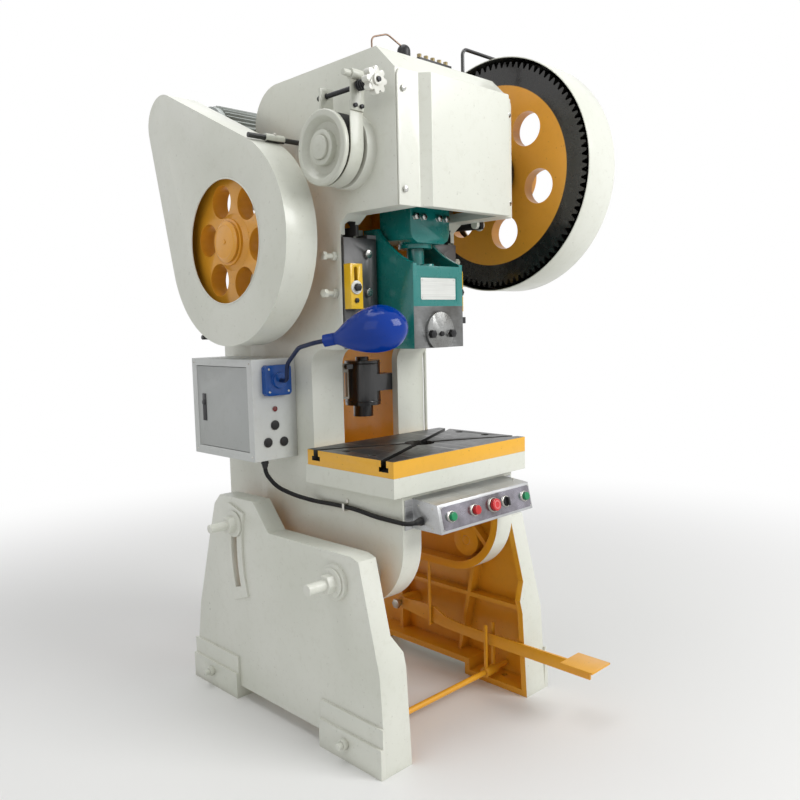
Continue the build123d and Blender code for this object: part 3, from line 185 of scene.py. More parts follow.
# The coat: broad cloudiness and waviness of the filler, fine orange peel of the spray gun,
# smudges in the gloss, a few dark specks of soil, and soiling with painted shade where surfaces meet.
coat, given, result = new_group(
    "sprayed_coat", {"Colour": (1, 1, 1, 1), "Roughness": 0.35, "Filler": 0.3, "Peel": 0.1, "Soil_and_shade": 0.5},
    ("Colour", "Roughness", "Normal"))
smudges = noise(coat, 14.0, 6.0, 0.65)
# Painted shade: ambient occlusion darkens the colour in corners and where parts meet, mixed with smudged soiling.
meeting = put(coat, "ShaderNodeAmbientOcclusion", {"Distance": 0.03}, samples=4)
corner = spread(coat, meeting.outputs["AO"], 0.35, 0.85, 1.0, 0.0)
colour = mixed(coat, spread(coat, noise(coat, 2.3, 3.0), 0.35, 0.7), given["Colour"], (0.90, 0.91, 0.88, 1), "MULTIPLY")
colour = mixed(coat, spread(coat, noise(coat, 38.0, 4.0, 0.7), 0.52, 0.75, 0.0, 0.5), colour, (0.88, 0.87, 0.84, 1),
               "MULTIPLY")
corner_soil_and_shade = reckon(coat, "MULTIPLY", corner, spread(coat, smudges, 0.3, 0.6, 0.3, 1.0))
colour = mixed(coat, reckon(coat, "MULTIPLY", corner_soil_and_shade, given["Soil_and_shade"]), colour, (0.50, 0.46, 0.40, 1), "MULTIPLY")
specks = spread(coat, noise(coat, 95.0, 2.0), 0.70, 0.76, 0.0, 0.55)
colour = mixed(coat, reckon(coat, "MULTIPLY", specks, given["Soil_and_shade"]), colour, (0.35, 0.32, 0.28, 1), "MULTIPLY")
coat.links.new(colour, result["Colour"])
coat.links.new(reckon(coat, "ADD", given["Roughness"], spread(coat, smudges, 0.3, 0.7, -0.08, 0.10)),
               result["Roughness"])
waves = bumped(coat, noise(coat, 15.0, 2.0), given["Filler"], 0.0025)
coat.links.new(bumped(coat, noise(coat, 230.0, 1.0), given["Peel"], 0.0004, waves), result["Normal"])


def enamel(name, colour, roughness=0.35, filler=0.3, peel=0.25, soiling_and_shade=0.5, gloss=0.25, marks=None, mirror=0.5):
    """A painted finish; marks, if given, adds the height of a thread or of turned rings."""
    material = bpy.data.materials.new(name)
    material.use_nodes = True
    tree = material.node_tree
    shader = tree.nodes["Principled BSDF"]
    skin = put(tree, "ShaderNodeGroup", node_tree=coat)
    for title, value in (("Colour", (*colour, 1)), ("Roughness", roughness), ("Filler", filler), ("Peel", peel),
                         ("Soil_and_shade", soiling_and_shade)):
        skin.inputs[title].default_value = value
    normal = skin.outputs["Normal"]
    if marks:
        height, strength, depth = marks(tree)
        normal = bumped(tree, height, strength, depth, normal)
    tree.links.new(skin.outputs["Colour"], shader.inputs["Base Color"])
    tree.links.new(skin.outputs["Roughness"], shader.inputs["Roughness"])
    tree.links.new(normal, shader.inputs["Normal"])
    shader.inputs["Coat Weight"].default_value = gloss
    shader.inputs["Coat Roughness"].default_value = 0.12
    shader.inputs["Specular IOR Level"].default_value = mirror
    return material


cream_colour = (0.74, 0.75, 0.68)
yellow_colour = (0.86, 0.41, 0.02)
cream = enamel("cream_enamel", cream_colour)
yellow = enamel("yellow_enamel", yellow_colour, roughness=0.4, filler=0.45, soiling_and_shade=0.8)
body_of = {node: body for body, nodes in frame["record"]["behaviour"]["bodies"].items() for node in nodes}


def at(x, y, z):
    """A drawing point, in millimetres, as metres in the row frame."""
    return Vector((x / 1000, y / 1000 + slide_y, z / 1000))


def merged(node):
    """A copy of a CAD node's mesh with its loose triangles joined and its flats made whole."""
    bm = bmesh.new()
    bm.from_mesh(frame["nodes"][node].data)
    bmesh.ops.remove_doubles(bm, verts=bm.verts, dist=1e-5)
    bmesh.ops.dissolve_limit(bm, angle_limit=math.radians(0.6), verts=bm.verts, edges=bm.edges)
    return bm


def piece(bm, name, body, finishes, edge=0.0, segments=2, angle=30, replaces=()):
    """Makes a finished object from a bmesh: smooth faces, broken edges, finish, body."""
    mesh = bpy.data.meshes.new(name)
    bm.to_mesh(mesh)
    bm.free()
    for finish in finishes:
        mesh.materials.append(finish)
    mesh.shade_smooth()
    made = bpy.data.objects.new(name, mesh)
    bpy.context.scene.collection.objects.link(made)
    if edge:
        broken = made.modifiers.new("broken_edges", "BEVEL")
        broken.width = edge / 1000
        broken.segments = segments
        broken.limit_method = "ANGLE"
        broken.angle_limit = math.radians(angle)
        broken.harden_normals = True
        broken.use_clamp_overlap = True
    else:
        mesh.set_sharp_from_angle(angle=math.radians(angle))
    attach(made, body)
    if replaces:
        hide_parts(*replaces)
    return made


def dressed(node, finishes, edge, segments=2, angle=30, choose=None, cuts=()):
    """A CAD piece with broken edges; choose gives a face's finish from its middle, in drawing
    millimetres, and its normal, and cuts are planes along which a flat changes its finish."""
    bm = merged(node)
    for place, direction in cuts:
        bmesh.ops.bisect_plane(bm, geom=bm.verts[:] + bm.edges[:] + bm.faces[:], plane_co=place, plane_no=direction)
    if choose:
        for face in bm.faces:
            face.material_index = choose((face.calc_center_median() - at(0, 0, 0)) * 1000, face.normal)
    return piece(bm, node + "_made", body_of[node], finishes, edge, segments, angle, [node])


def shut_in(tree, face):
    """Whether a face looks at another wall of its own piece, from its middle or from its edge."""
    side_loop = face.loops[0]
    start, end = side_loop.vert.co, side_loop.link_loop_next.vert.co
    inward = face.normal.cross(end - start).normalized()
    for place in (face.calc_center_median(), (start + end) / 2 + inward * 0.0005):
        if tree.ray_cast(place + face.normal * 0.001, face.normal, 1.2)[0] is not None:
            return True
    return False


wall_inner_x, arch_inner_x, arch_top_z = 379, 330, 92
for side, node in ((-1, "left_leg"), (1, "right_leg")):
    bm = merged(node)
    tree = BVHTree.FromBMesh(bm)
    for face in bm.faces:
        middle = face.calc_center_median() * 1000
        if abs(middle.x) > wall_inner_x:
            continue
        looks_across = abs(face.normal.x) > 0.5
        under_arch = side < 0 and abs(face.normal.y) > 0.5 and middle.z < arch_top_z and abs(middle.x) > arch_inner_x
        if (looks_across and -side * face.normal.x > 0) or (
                not looks_across and not under_arch and shut_in(tree, face)):
            face.material_index = 1
    piece(bm, node + "_casting", "stand", [cream, yellow], 5, 3, replaces=[node])


# Studs, nuts and washers of the legs: threaded steel, painted over in cream with the legs, so that
# the thread still shows. The two front ones are the pivot that the press tilts on.
def add(bm, made, finish=0):
    """Moves a made shape into a piece, its faces looking outwards."""
    bmesh.ops.recalc_face_normals(made, faces=made.faces)
    for face in made.faces:
        face.material_index = finish
    shape = bpy.data.meshes.new("shape")
    made.to_mesh(shape)
    made.free()
    bm.from_mesh(shape)
    bpy.data.meshes.remove(shape)


def stand_at(made, place, direction):
    look = Vector(direction).to_track_quat("Z", "Y").to_matrix().to_4x4()
    bmesh.ops.transform(made, matrix=Matrix.Translation(place) @ look, verts=made.verts)


def turned(bm, profile, place, direction, finish=0, steps=32):
    """Spins a half outline of (radius, along), in millimetres, about a line from place."""
    made = bmesh.new()
    points = [made.verts.new((radius / 1000, 0, along / 1000)) for radius, along in profile]
    edges = [made.edges.new(pair) for pair in zip(points, points[1:])]
    bmesh.ops.spin(made, geom=points + edges, cent=(0, 0, 0), axis=(0, 0, 1), angle=2 * math.pi, steps=steps,
                   use_merge=True)
    bmesh.ops.remove_doubles(made, verts=made.verts, dist=1e-6)
    stand_at(made, place, direction)
    add(bm, made, finish)


def thread(bm, radius, pitch, place, direction, length):
    """The ridges of a screw thread on a bar, with a chamfered end."""
    deep = 0.32 * pitch
    outline = [(radius - 1, 0)]
    for ridge in range(int((length - 2) / pitch)):
        along = ridge * pitch
        outline += [(radius - 0.3 * deep, along + 0.1), (radius + 0.25 * deep, along + 0.45 * pitch),
                    (radius + 0.25 * deep, along + 0.6 * pitch)]
    outline += [(radius - 0.3 * deep, length - 2), (radius - 1, length - 0.5)]
    turned(bm, outline, place, direction, steps=40)


threaded_cream = enamel("cream_over_thread", cream_colour, 0.4, soiling_and_shade=0.9)
for node, nut_face, y, z, radius in (("pivot_bolts", 442, -20, 547, 17), ("slot_bolts", 436.3, 515, 637, 15)):
    dressed(node, [cream, yellow], 2.0, choose=lambda middle, normal: int(abs(middle.x) < 240))
    bm = bmesh.new()
    for side in (-1, 1):
        thread(bm, radius, 3.5, at(side * nut_face, y, z), (side, 0, 0), 65)
    piece(bm, node + "_threads", body_of[node], [threaded_cream], angle=20)

# Tie rods: two threaded rods through the feet, yellow between the legs and cream outside, with
# cream nuts.
leg_out, tie_rod_z = 395, 56
dressed("tie_rods", [cream, yellow], 1.5, cuts=[(at(side * leg_out, 0, 0), (1, 0, 0)) for side in (-1, 1)],
        choose=lambda middle, normal: int(abs(middle.x) < leg_out))
bm = bmesh.new()
for y in (-62, 688):
    for side in (-1, 1):
        thread(bm, 10, 2.5, at(side * 429, y, tie_rod_z), (side, 0, 0), 16)
piece(bm, "tie_rod_threads", "stand", [threaded_cream], angle=20)

# Pedal work: a flat lever on a pin in the right leg, guided by a fork on the front tie rod, and a
# rod that draws the clutch's trip lever down: yellow within the legs, the rod cream above them.
blackened_colour = (0.035, 0.035, 0.037)
dressed("pedal_lever", [yellow], 1.5)
dressed("pedal_fork", [yellow], 1.5)
rod_cream_z = 640
dressed("pull_rod", [yellow, cream], 1.0, cuts=[(at(0, 0, rod_cream_z), (0, 0, 1))],
        choose=lambda middle, normal: int(middle.z > rod_cream_z))


# Bare metal: streaks or rings left by the tool, oil that has spread in patches, darker where
# the oil stays.
tooled, given, result = new_group(
    "tooled_metal", {"Pattern": 0.5, "Colour": (0.5, 0.5, 0.5, 1), "Roughness": 0.3, "Marks": 0.3, "Oil": 0.4},
    ("Colour", "Roughness", "Normal"))
patches = noise(tooled, 7.0, 5.0, 0.6)
stain = reckon(tooled, "MULTIPLY", spread(tooled, patches, 0.42, 0.66), given["Oil"])
colour = mixed(tooled, spread(tooled, given["Pattern"], 0.3, 0.7, 0.35, 0.0), given["Colour"], (0.5, 0.5, 0.5, 1),
               "MULTIPLY")
colour = mixed(tooled, stain, colour, (0.30, 0.27, 0.22, 1), "MULTIPLY")
tooled.links.new(colour, result["Colour"])
uneven = reckon(tooled, "ADD", given["Roughness"], spread(tooled, given["Pattern"], 0.3, 0.7, -0.06, 0.10))
tooled.links.new(reckon(tooled, "SUBTRACT", uneven, reckon(tooled, "MULTIPLY", stain, 0.12)), result["Roughness"])
tooled.links.new(bumped(tooled, given["Pattern"], given["Marks"], 0.0004), result["Normal"])


def streaks(scale):
    """Marks drawn out along a flat: scale is how fine they are along X, Y and Z."""
    def pattern(tree):
        place = put(tree, "ShaderNodeTexCoord")
        drawn = put(tree, "ShaderNodeMapping", {"Vector": place.outputs["Object"], "Scale": scale})
        return put(tree, "ShaderNodeTexNoise", {"Vector": drawn.outputs[0], "Scale": 1.0, "Detail": 3.0}).outputs["Fac"]
    return pattern


def rings(y, z, fine=320.0):
    """Marks of a lathe on faces about an axis along X through y, z."""
    def pattern(tree):
        place = put(tree, "ShaderNodeTexCoord")
        off = put(tree, "ShaderNodeVectorMath", {0: place.outputs["Object"], 1: at(0, y, z)}, operation="SUBTRACT")
        flat = put(tree, "ShaderNodeVectorMath", {0: off.outputs[0], 1: (0, 1, 1)}, operation="MULTIPLY")
        radius = put(tree, "ShaderNodeVectorMath", {0: flat.outputs[0]}, operation="LENGTH").outputs["Value"]
        return put(tree, "ShaderNodeTexNoise", {"W": radius, "Scale": fine, "Detail": 3.0},
                   noise_dimensions="1D").outputs["Fac"]
    return pattern


def metal(name, colour, roughness=0.3, pattern=streaks((30, 30, 400)), marks=0.3, oil=0.4, metallic=1.0):
    material = bpy.data.materials.new(name)
    material.use_nodes = True
    tree = material.node_tree
    shader = tree.nodes["Principled BSDF"]
    skin = put(tree, "ShaderNodeGroup", node_tree=tooled)
    tree.links.new(pattern(tree), skin.inputs["Pattern"])
    for title, value in (("Colour", (*colour, 1)), ("Roughness", roughness), ("Marks", marks), ("Oil", oil)):
        skin.inputs[title].default_value = value
    for title, socket in (("Colour", "Base Color"), ("Roughness", "Roughness"), ("Normal", "Normal")):
        tree.links.new(skin.outputs[title], shader.inputs[socket])
    shader.inputs["Metallic"].default_value = metallic
    return material


zinc = metal("zinc_plate", (0.66, 0.65, 0.60), 0.32, streaks((120, 120, 120)), 0.15, 0.3)
bright = metal("bright_steel", (0.62, 0.62, 0.60), 0.24, streaks((40, 40, 300)), 0.2, 0.35)
blackened = metal("blackened_steel", blackened_colour, 0.42, streaks((150, 150, 150)), 0.2, 0.2, 0.6)
dressed("pedal_pin", [zinc], 1.5)
dressed("trip_lever", [blackened], 1.5)

# Frame: a welded and filled C of two side walls with a flange round their edge, the table slab and
# the guide blocks in one, cream outside and yellow inside, with painted shade in the niches over the gibs.
# The niches get a near-black coat as painted shade.
shaded_niche_colour = enamel("niche_shadow_coat", (0.045, 0.043, 0.04), 0.5, soiling_and_shade=1.0)
inner_wall_x, open_throat_y, bolster_top = 238.5, 232, 920
niche_x, niche_z = 222, 1606
bm = merged("frame")
tree = BVHTree.FromBMesh(bm)
for face in bm.faces:
    place = (face.calc_center_median() - at(0, 0, 0)) * 1000
    open_side = place.z > bolster_top and place.y < open_throat_y
    if abs(place.x) < inner_wall_x and not open_side and shut_in(tree, face):
        face.material_index = 1
    if abs(abs(place.x) - niche_x) < 26 and abs(place.z - niche_z) < 36 and 60 < place.y < 126:
        face.material_index = 2
piece(bm, "frame_made", "press", [cream, yellow, shaded_niche_colour], 5, 3, replaces=["frame"])


# Small screws of the whole press: hexagons with their corners broken, round heads with a drive
# hole, and beads bent round a circle.
def hexagon(bm, across, height, place, direction):
    made = bmesh.new()
    corner_radius = across / math.sqrt(3) / 1000
    bmesh.ops.create_cone(made, cap_ends=True, segments=6, radius1=corner_radius, radius2=corner_radius,
                          depth=height / 1000)
    bmesh.ops.translate(made, verts=made.verts, vec=(0, 0, height / 2000))
    bmesh.ops.bevel(made, geom=made.edges[:], offset=across / 20000, segments=2, profile=0.5, affect="EDGES",
                    material=-1)
    stand_at(made, place, direction)
    add(bm, made)


def pan_head(bm, radius, place, direction, finish=0):
    """A round screw head with a drive hole."""
    high = radius * 0.6
    turned(bm, [(0, high * 0.35), (radius * 0.35, high * 0.35), (radius * 0.4, high * 0.95), (radius * 0.6, high),
                (radius * 0.9, high * 0.6), (radius, 0), (0, 0)], place, direction, finish, 16)


def bead(bm, radius, thick, place, direction, steps):
    """A round bead along a circle."""
    across = [(radius + thick * math.cos(k * math.pi / 4), thick * math.sin(k * math.pi / 4)) for k in range(9)]
    turned(bm, across, place, direction, steps=steps)


# The niches hold the end of the gib's lifting screw: a bright washer and hexagon.
bm = bmesh.new()
for side in (-1, 1):
    turned(bm, [(0, 0), (17, 0), (17, 4), (15, 5), (0, 5)], at(side * niche_x, 123, niche_z), (0, -1, 0))
    hexagon(bm, 19, 14, at(side * niche_x, 118, niche_z), (0, -1, 0))
piece(bm, "niche_screws", "press", [bright])

# Bolster plate: its top is ground steel, scratched by the dies slid over it, the sides
# are painted yellow and the T slots are bare and oily, made darker with painted shade.
scratched = metal("ground_bolster_top", (0.085, 0.088, 0.09), 0.38, streaks((26, 160, 26)), 0.12, 0.7, 0.75)
tree = scratched.node_tree
skin = next(node for node in tree.nodes if node.type == "GROUP")
place = put(tree, "ShaderNodeTexCoord")
lines = []
for angle, fine in ((0.5, 70.0), (-0.35, 110.0), (1.4, 55.0)):
    slanted = put(tree, "ShaderNodeMapping", {"Vector": place.outputs["Object"], "Rotation": (0, 0, angle),
                                              "Scale": (fine, 1.6, 1.0)})
    line = put(tree, "ShaderNodeTexNoise", {"Vector": slanted.outputs[0], "Scale": 1.0, "Detail": 1.0}).outputs["Fac"]
    lines.append(spread(tree, line, 0.70, 0.73, 0.0, 0.6))
scratches = reckon(tree, "MAXIMUM", reckon(tree, "MAXIMUM", lines[0], lines[1]), lines[2])
tree.links.new(mixed(tree, scratches, skin.outputs["Colour"], (0.45, 0.45, 0.43, 1)),
               tree.nodes["Principled BSDF"].inputs["Base Color"])
# The T slots' steel is darkened as painted shade, with oil stains.
slot_shade_metal = metal("shaded_slot_steel", (0.05, 0.048, 0.045), 0.5, oil=0.8)
bolster_yellow = enamel("bolster_yellow", (0.88, 0.45, 0.02), 0.42, filler=0.2, soiling_and_shade=1.0)
bolster_half_x, bolster_half_y = 315, 200


def bolster_finish(middle, normal):
    if middle.z > bolster_top - 0.1:
        return 0
    outer = abs(abs(middle.x) - bolster_half_x) < 0.2 or abs(abs(middle.y) - bolster_half_y) < 0.2
    return 1 if outer else 2


dressed("bolster_plate", [scratched, bolster_yellow, slot_shade_metal], 1.2, choose=bolster_finish)

# Screws: black socket screws in the bolster, bright hexagons on the head's cover, silver heads
# with a washer face on the gibs.
black_oxide = metal("black_oxide", (0.03, 0.03, 0.032), 0.35, streaks((120, 120, 120)), 0.1, 0.3, 0.7)
dressed("cap_screws", [black_oxide, bright], 0.8, choose=lambda middle, normal: int(middle.z > 1000))

# Front cover: a folded and welded sheet box over the crank, screwed on the head, sprayed with
# the rest of the frame.
dressed("front_cover", [cream], 2.5, 3)

# Gibs: planed cast iron, screwed on the guide blocks and set by threaded adjusters with lock
# nuts, which are painted over in cream.
planed = metal("planed_iron", (0.17, 0.17, 0.172), 0.50, streaks((420, 420, 9)), 0.35, 0.25, 0.7)
for node in ("left_gib", "right_gib"):
    dressed(node, [planed], 1.5)
dressed("gib_adjusters", [cream], 1.2)
bm = bmesh.new()
for z in (1416, 1531):
    for side in (-1, 1):
        thread(bm, 8, 2.5, at(side * 277, 94, z), (side, 0, 0), 24)
piece(bm, "adjuster_threads", "press", [threaded_cream], angle=20)

# Knock-out stops: slotted yellow brackets with a white washer and dark screws.
white_washer = enamel("white_washer", (0.80, 0.80, 0.77), 0.45, filler=0.0)
stop_x, stop_z, right_stop_drop = 240, 1432, 12
bracket_front_y, washer_front_y, washer_reach = 23.8, 19.8, 24


def stop_finish(middle, normal):
    if middle.y > bracket_front_y:
        return 0
    centre = stop_z - (right_stop_drop if middle.x > 0 else 0)
    off = math.hypot(abs(middle.x) - stop_x, middle.z - centre)
    on_washer = middle.y > washer_front_y and middle.z > centre - washer_reach
    return 1 if on_washer and (off > 14 or abs(normal.y) > 0.5) else 2


stop_yellow = enamel("stop_yellow", (0.90, 0.55, 0.02), 0.35, soiling_and_shade=0.7)
dressed("knockout_stops", [stop_yellow, white_washer, blackened], 1.2, choose=stop_finish)

# Slide: an iron casting, gloss teal on its front and sides with planed rails. Its lower front
# is bare, where the shank's clamp cap is fitted and dies are rubbed against it.
teal = enamel("teal_enamel", (0.006, 0.200, 0.185), 0.26, filler=0.5, soiling_and_shade=0.8, gloss=0.5, mirror=0.35)
bare_iron = metal("bare_iron", (0.22, 0.225, 0.225), 0.42, streaks((60, 60, 240)), 0.3, 0.7, 0.8)
bare_top, rail_in, front_y = 1370, 116, -90


def slide_finish(middle, normal):
    if abs(middle.x) > rail_in:
        return 2
    if middle.z < bare_top and (middle.y < front_y or normal.z < -0.5):
        return 1
    in_ball_pocket = abs(middle.x) < 42 and -42 < middle.y < 119 and 1350 < middle.z < 1495
    return 2 if in_ball_pocket else 0


dressed("slide", [teal, bare_iron, planed], 2.0, cuts=[(at(0, 0, bare_top), (0, 0, 1))], choose=slide_finish)

# A bare pale plate lies in the recess of the slide's front, held by four drive rivets.
bare_plate = metal("bare_plate", (0.70, 0.71, 0.68), 0.38, streaks((6, 6, 500)), 0.2, 0.1, 0.35)
plate_place, plate_size = at(0, -99.4, 1424.5), (0.162, 0.0008, 0.068, 1)
bm = bmesh.new()
made = bmesh.new()
bmesh.ops.create_cube(made, size=1, matrix=Matrix.Translation(plate_place) @ Matrix.Diagonal(plate_size))
bmesh.ops.bevel(made, geom=[edge for edge in made.edges if abs((edge.verts[0].co - edge.verts[1].co).y) > 0.0005],
                offset=0.004, segments=3, profile=0.5, affect="EDGES", material=-1)
add(bm, made)
for x in (-74, 74):
    for z in (1397, 1452):
        pan_head(bm, 2.6, at(x, -99.8, z), (0, -1, 0))
piece(bm, "bare_plate", "slide", [bare_plate], 0.2, 1)

# Clamp cap of the shank: turned steel with two black screws, and the knock-out bar through the
# slide above the shank.
turned_cap = metal("turned_cap", (0.30, 0.305, 0.30), 0.34, streaks((300, 8, 300)), 0.25, 0.6, 0.9)
cap_front_y = -108.2
dressed("shank_cap", [turned_cap, black_oxide], 1.2, choose=lambda middle, normal: int(middle.y < cap_front_y))
dressed("knockout_bar", [blackened], 1.5)

# Crankshaft: forged and ground steel. Its left end is painted pale with the brake.
pale_colour = (0.62, 0.63, 0.56)


def turned_rings(y, z):
    def marks(tree):
        return rings(y, z, 260.0)(tree), 0.5, 0.0006
    return marks


crank_z = 1830
pale = enamel("pale_brake_coat", pale_colour, 0.38, filler=0.1, soiling_and_shade=0.8, marks=turned_rings(0, crank_z))
pale_plain = enamel("pale_plain_coat", pale_colour, 0.40, filler=0.2, soiling_and_shade=0.9)
ground = metal("ground_shaft", (0.50, 0.50, 0.49), 0.22, rings(0, crank_z), 0.2, 0.4)
painted_x = -380
dressed("crankshaft", [ground, pale], 2.5, cuts=[(at(painted_x, 0, 0), (1, 0, 0))],
        choose=lambda middle, normal: int(middle.x < painted_x))
bm = bmesh.new()
turned(bm, [(4.5, -3), (7, 0.4), (9, 0.4), (9, -1)], at(-392, 0, crank_z), (-1, 0, 0))
piece(bm, "crank_centre_mark", "crank", [pale_plain])

# Brake: a turned drum, a steel band with a black woven lining, a bracket hung on an anchor pin,
# and a spring that the star knob presses. All but the spring and the rod are painted.
dressed("brake_drum", [pale], 1.5)
band_coat = enamel("brake_band_coat", pale_colour, 0.42, filler=0.2, soiling_and_shade=0.9)


def within(tree, y, z, radius, soft):
    """1 inside a radius, in metres, about an axis along X through y, z in millimetres."""
    place = put(tree, "ShaderNodeTexCoord")
    off = put(tree, "ShaderNodeVectorMath", {0: place.outputs["Object"], 1: at(0, y, z)}, operation="SUBTRACT")
    flat = put(tree, "ShaderNodeVectorMath", {0: off.outputs[0], 1: (0, 1, 1)}, operation="MULTIPLY")
    far = put(tree, "ShaderNodeVectorMath", {0: flat.outputs[0]}, operation="LENGTH").outputs["Value"]
    return spread(tree, far, radius - soft, radius + soft, 1.0, 0.0)


def two_coats(material, inner_share, colour, roughness):
    """Lays a second colour and gloss over part of a painted material."""
    tree = material.node_tree
    shader = tree.nodes["Principled BSDF"]
    skin = next(node for node in tree.nodes if node.type == "GROUP")
    tree.links.new(mixed(tree, inner_share, skin.outputs["Colour"], colour), shader.inputs["Base Color"])
    other = reckon(tree, "ADD", roughness, spread(tree, noise(tree, 40.0, 4.0), 0.3, 0.7, -0.08, 0.12))
    gap = reckon(tree, "SUBTRACT", other, skin.outputs["Roughness"])
    both = reckon(tree, "ADD", skin.outputs["Roughness"], reckon(tree, "MULTIPLY", gap, inner_share))
    tree.links.new(both, shader.inputs["Roughness"])


lining_r = 0.1032
two_coats(band_coat, within(band_coat.node_tree, 0, crank_z, lining_r, 0.0002), (0.02, 0.02, 0.02, 1), 0.7)
dressed("brake_band", [band_coat], 0.8)
woven = enamel("woven_lining", (0.02, 0.02, 0.02), 0.75, filler=0.8, peel=1.0, soiling_and_shade=1.0, gloss=0.0, mirror=0.3)
bm = bmesh.new()
made = bmesh.new()
lining_section = ((-361, 98.6), (-311, 98.6), (-311, 104), (-361, 104))
points = [made.verts.new(at(x, -radius, crank_z)) for x, radius in lining_section]
around = [made.edges.new(pair) for pair in zip(points, points[1:] + points[:1])]
bmesh.ops.spin(made, geom=points + around, cent=at(0, 0, crank_z), axis=(1, 0, 0), angle=math.radians(-78), steps=30)
bmesh.ops.holes_fill(made, edges=[edge for edge in made.edges if edge.is_boundary])
add(bm, made)
piece(bm, "brake_lining", "press", [woven], 0.5, 1)
anchor_z, anchor_out_y = 1931, -113.2
dressed("band_bracket", [pale_plain, black_oxide], 1.2, choose=lambda middle, normal: int(
    middle.y < anchor_out_y and abs(middle.z - anchor_z) < 8))
dressed("tension_rod", [blackened], 1.0)
tension_x, tension_z = -336, 1985
bm = bmesh.new()
thread(bm, 7, 2.2, at(tension_x, -100, tension_z), (0, 1, 0), 128)
thread(bm, 7, 2.2, at(tension_x, -170, tension_z), (0, -1, 0), 34)
piece(bm, "tension_rod_thread", "press", [blackened], angle=20)
dressed("brake_spring", [blackened], 0.0)
knob_coat = enamel("star_knob_coat", (0.70, 0.70, 0.64), 0.3, filler=0.3, soiling_and_shade=0.8, gloss=0.4)
dressed("star_knob", [knob_coat], 3.0, 3)

# Bull gear: a cast wheel, its web sprayed orange yellow, its rim and teeth black with open-gear
# grease. It runs free on the keyed sleeve of the clutch.
rim_inner_r = 0.311
gear_coat = enamel("gear_web_coat", (0.80, 0.36, 0.03), 0.36, filler=0.5, soiling_and_shade=0.8)
rim_share = reckon(gear_coat.node_tree, "SUBTRACT", 1.0, within(gear_coat.node_tree, 0, crank_z, rim_inner_r, 0.0015))
two_coats(gear_coat, rim_share, (0.014, 0.013, 0.012, 1), 0.24)
dressed("bull_gear", [gear_coat], 0.0, angle=25)
greased = metal("greased_steel", (0.05, 0.048, 0.045), 0.25, streaks((90, 90, 90)), 0.4, 0.8, 0.9)
ring_steel = metal("turned_sleeve", (0.09, 0.09, 0.088), 0.34, rings(0, crank_z), 0.25, 0.5, 0.9)
dressed("clutch_sleeve", [ring_steel], 1.2)
bronze = metal("bearing_bronze", (0.52, 0.30, 0.11), 0.3, rings(0, crank_z), 0.2, 0.4)
dressed("bearing_bushes", [bronze], 0.6)

# Countershaft: ground steel with the pinion cut on its right end, and the flywheel keyed on its
# left end: a cast wheel with six round holes, orange yellow, its belt grooves bare.
counter_y, counter_z = 412.24, 1592
ground_shaft = metal("ground_countershaft", (0.46, 0.46, 0.45), 0.24, rings(counter_y, counter_z), 0.2, 0.5)
dressed("pinion_shaft", [ground_shaft, greased], 0.0, angle=25, choose=lambda middle, normal: int(middle.x > 400))
wheel_coat = enamel("flywheel_coat", (0.80, 0.36, 0.025), 0.34, filler=0.5, soiling_and_shade=0.9)
groove_inner_r, groove_left_x = 285, -444
groove_iron = metal("groove_iron", (0.10, 0.10, 0.10), 0.36, rings(counter_y, counter_z), 0.3, 0.6, 0.9)
dressed("flywheel", [wheel_coat, groove_iron], 3.0, 3, choose=lambda middle, normal: int(
    math.hypot(middle.y - counter_y, middle.z - counter_z) > groove_inner_r and middle.x > groove_left_x))
bm = bmesh.new()
turned(bm, [(0, 3), (6, 3), (8, 1.5), (8, -1)], at(-459, counter_y, counter_z), (-1, 0, 0))
turned(bm, [(66, -3), (66, 4), (60, 9), (53, 11), (51, 10)], at(-449, counter_y, counter_z), (-1, 0, 0), 0, 64)
piece(bm, "flywheel_hub_face", "countershaft", [wheel_coat])
dressed("connecting_rod", [teal, bright], 2.0, choose=lambda middle, normal: int(middle.y < -70.3 and middle.z < 1665))
screw_steel = metal("ball_screw_steel", (0.45, 0.45, 0.44), 0.25, streaks((8, 8, 900)), 0.5, 0.5)
teal_above_z = 1455
dressed("ball_screw", [screw_steel, teal], 0.0, cuts=[(at(0, 0, teal_above_z), (0, 0, 1))],
        choose=lambda middle, normal: int(middle.z > teal_above_z))


# Belts and rubber: a moulded skin with a fine grain, worn shiny in places and dusty on top.
moulded, given, result = new_group(
    "moulded_skin", {"Colour": (0.1, 0.1, 0.1, 1), "Roughness": 0.4, "Grain": 0.2, "Dust": 0.2},
    ("Colour", "Roughness", "Normal"))
handled = noise(moulded, 9.0, 4.0, 0.6)
lie = put(moulded, "ShaderNodeNewGeometry")
upward = put(moulded, "ShaderNodeSeparateXYZ", {0: lie.outputs["Normal"]})
dusty = reckon(moulded, "MULTIPLY", spread(moulded, upward.outputs["Z"], 0.3, 1.0), given["Dust"])
dusty = reckon(moulded, "MULTIPLY", dusty, spread(moulded, noise(moulded, 30.0, 5.0, 0.7), 0.3, 0.7))
colour = mixed(moulded, spread(moulded, handled, 0.35, 0.7, 0.0, 0.5), given["Colour"], (0.75, 0.75, 0.75, 1),
               "MULTIPLY")
moulded.links.new(mixed(moulded, dusty, colour, (0.42, 0.40, 0.36, 1)), result["Colour"])
worn = reckon(moulded, "ADD", given["Roughness"], spread(moulded, handled, 0.3, 0.7, -0.07, 0.10))
moulded.links.new(reckon(moulded, "ADD", worn, reckon(moulded, "MULTIPLY", dusty, 0.5)), result["Roughness"])
moulded.links.new(bumped(moulded, noise(moulded, 900.0, 1.0), given["Grain"], 0.0002), result["Normal"])


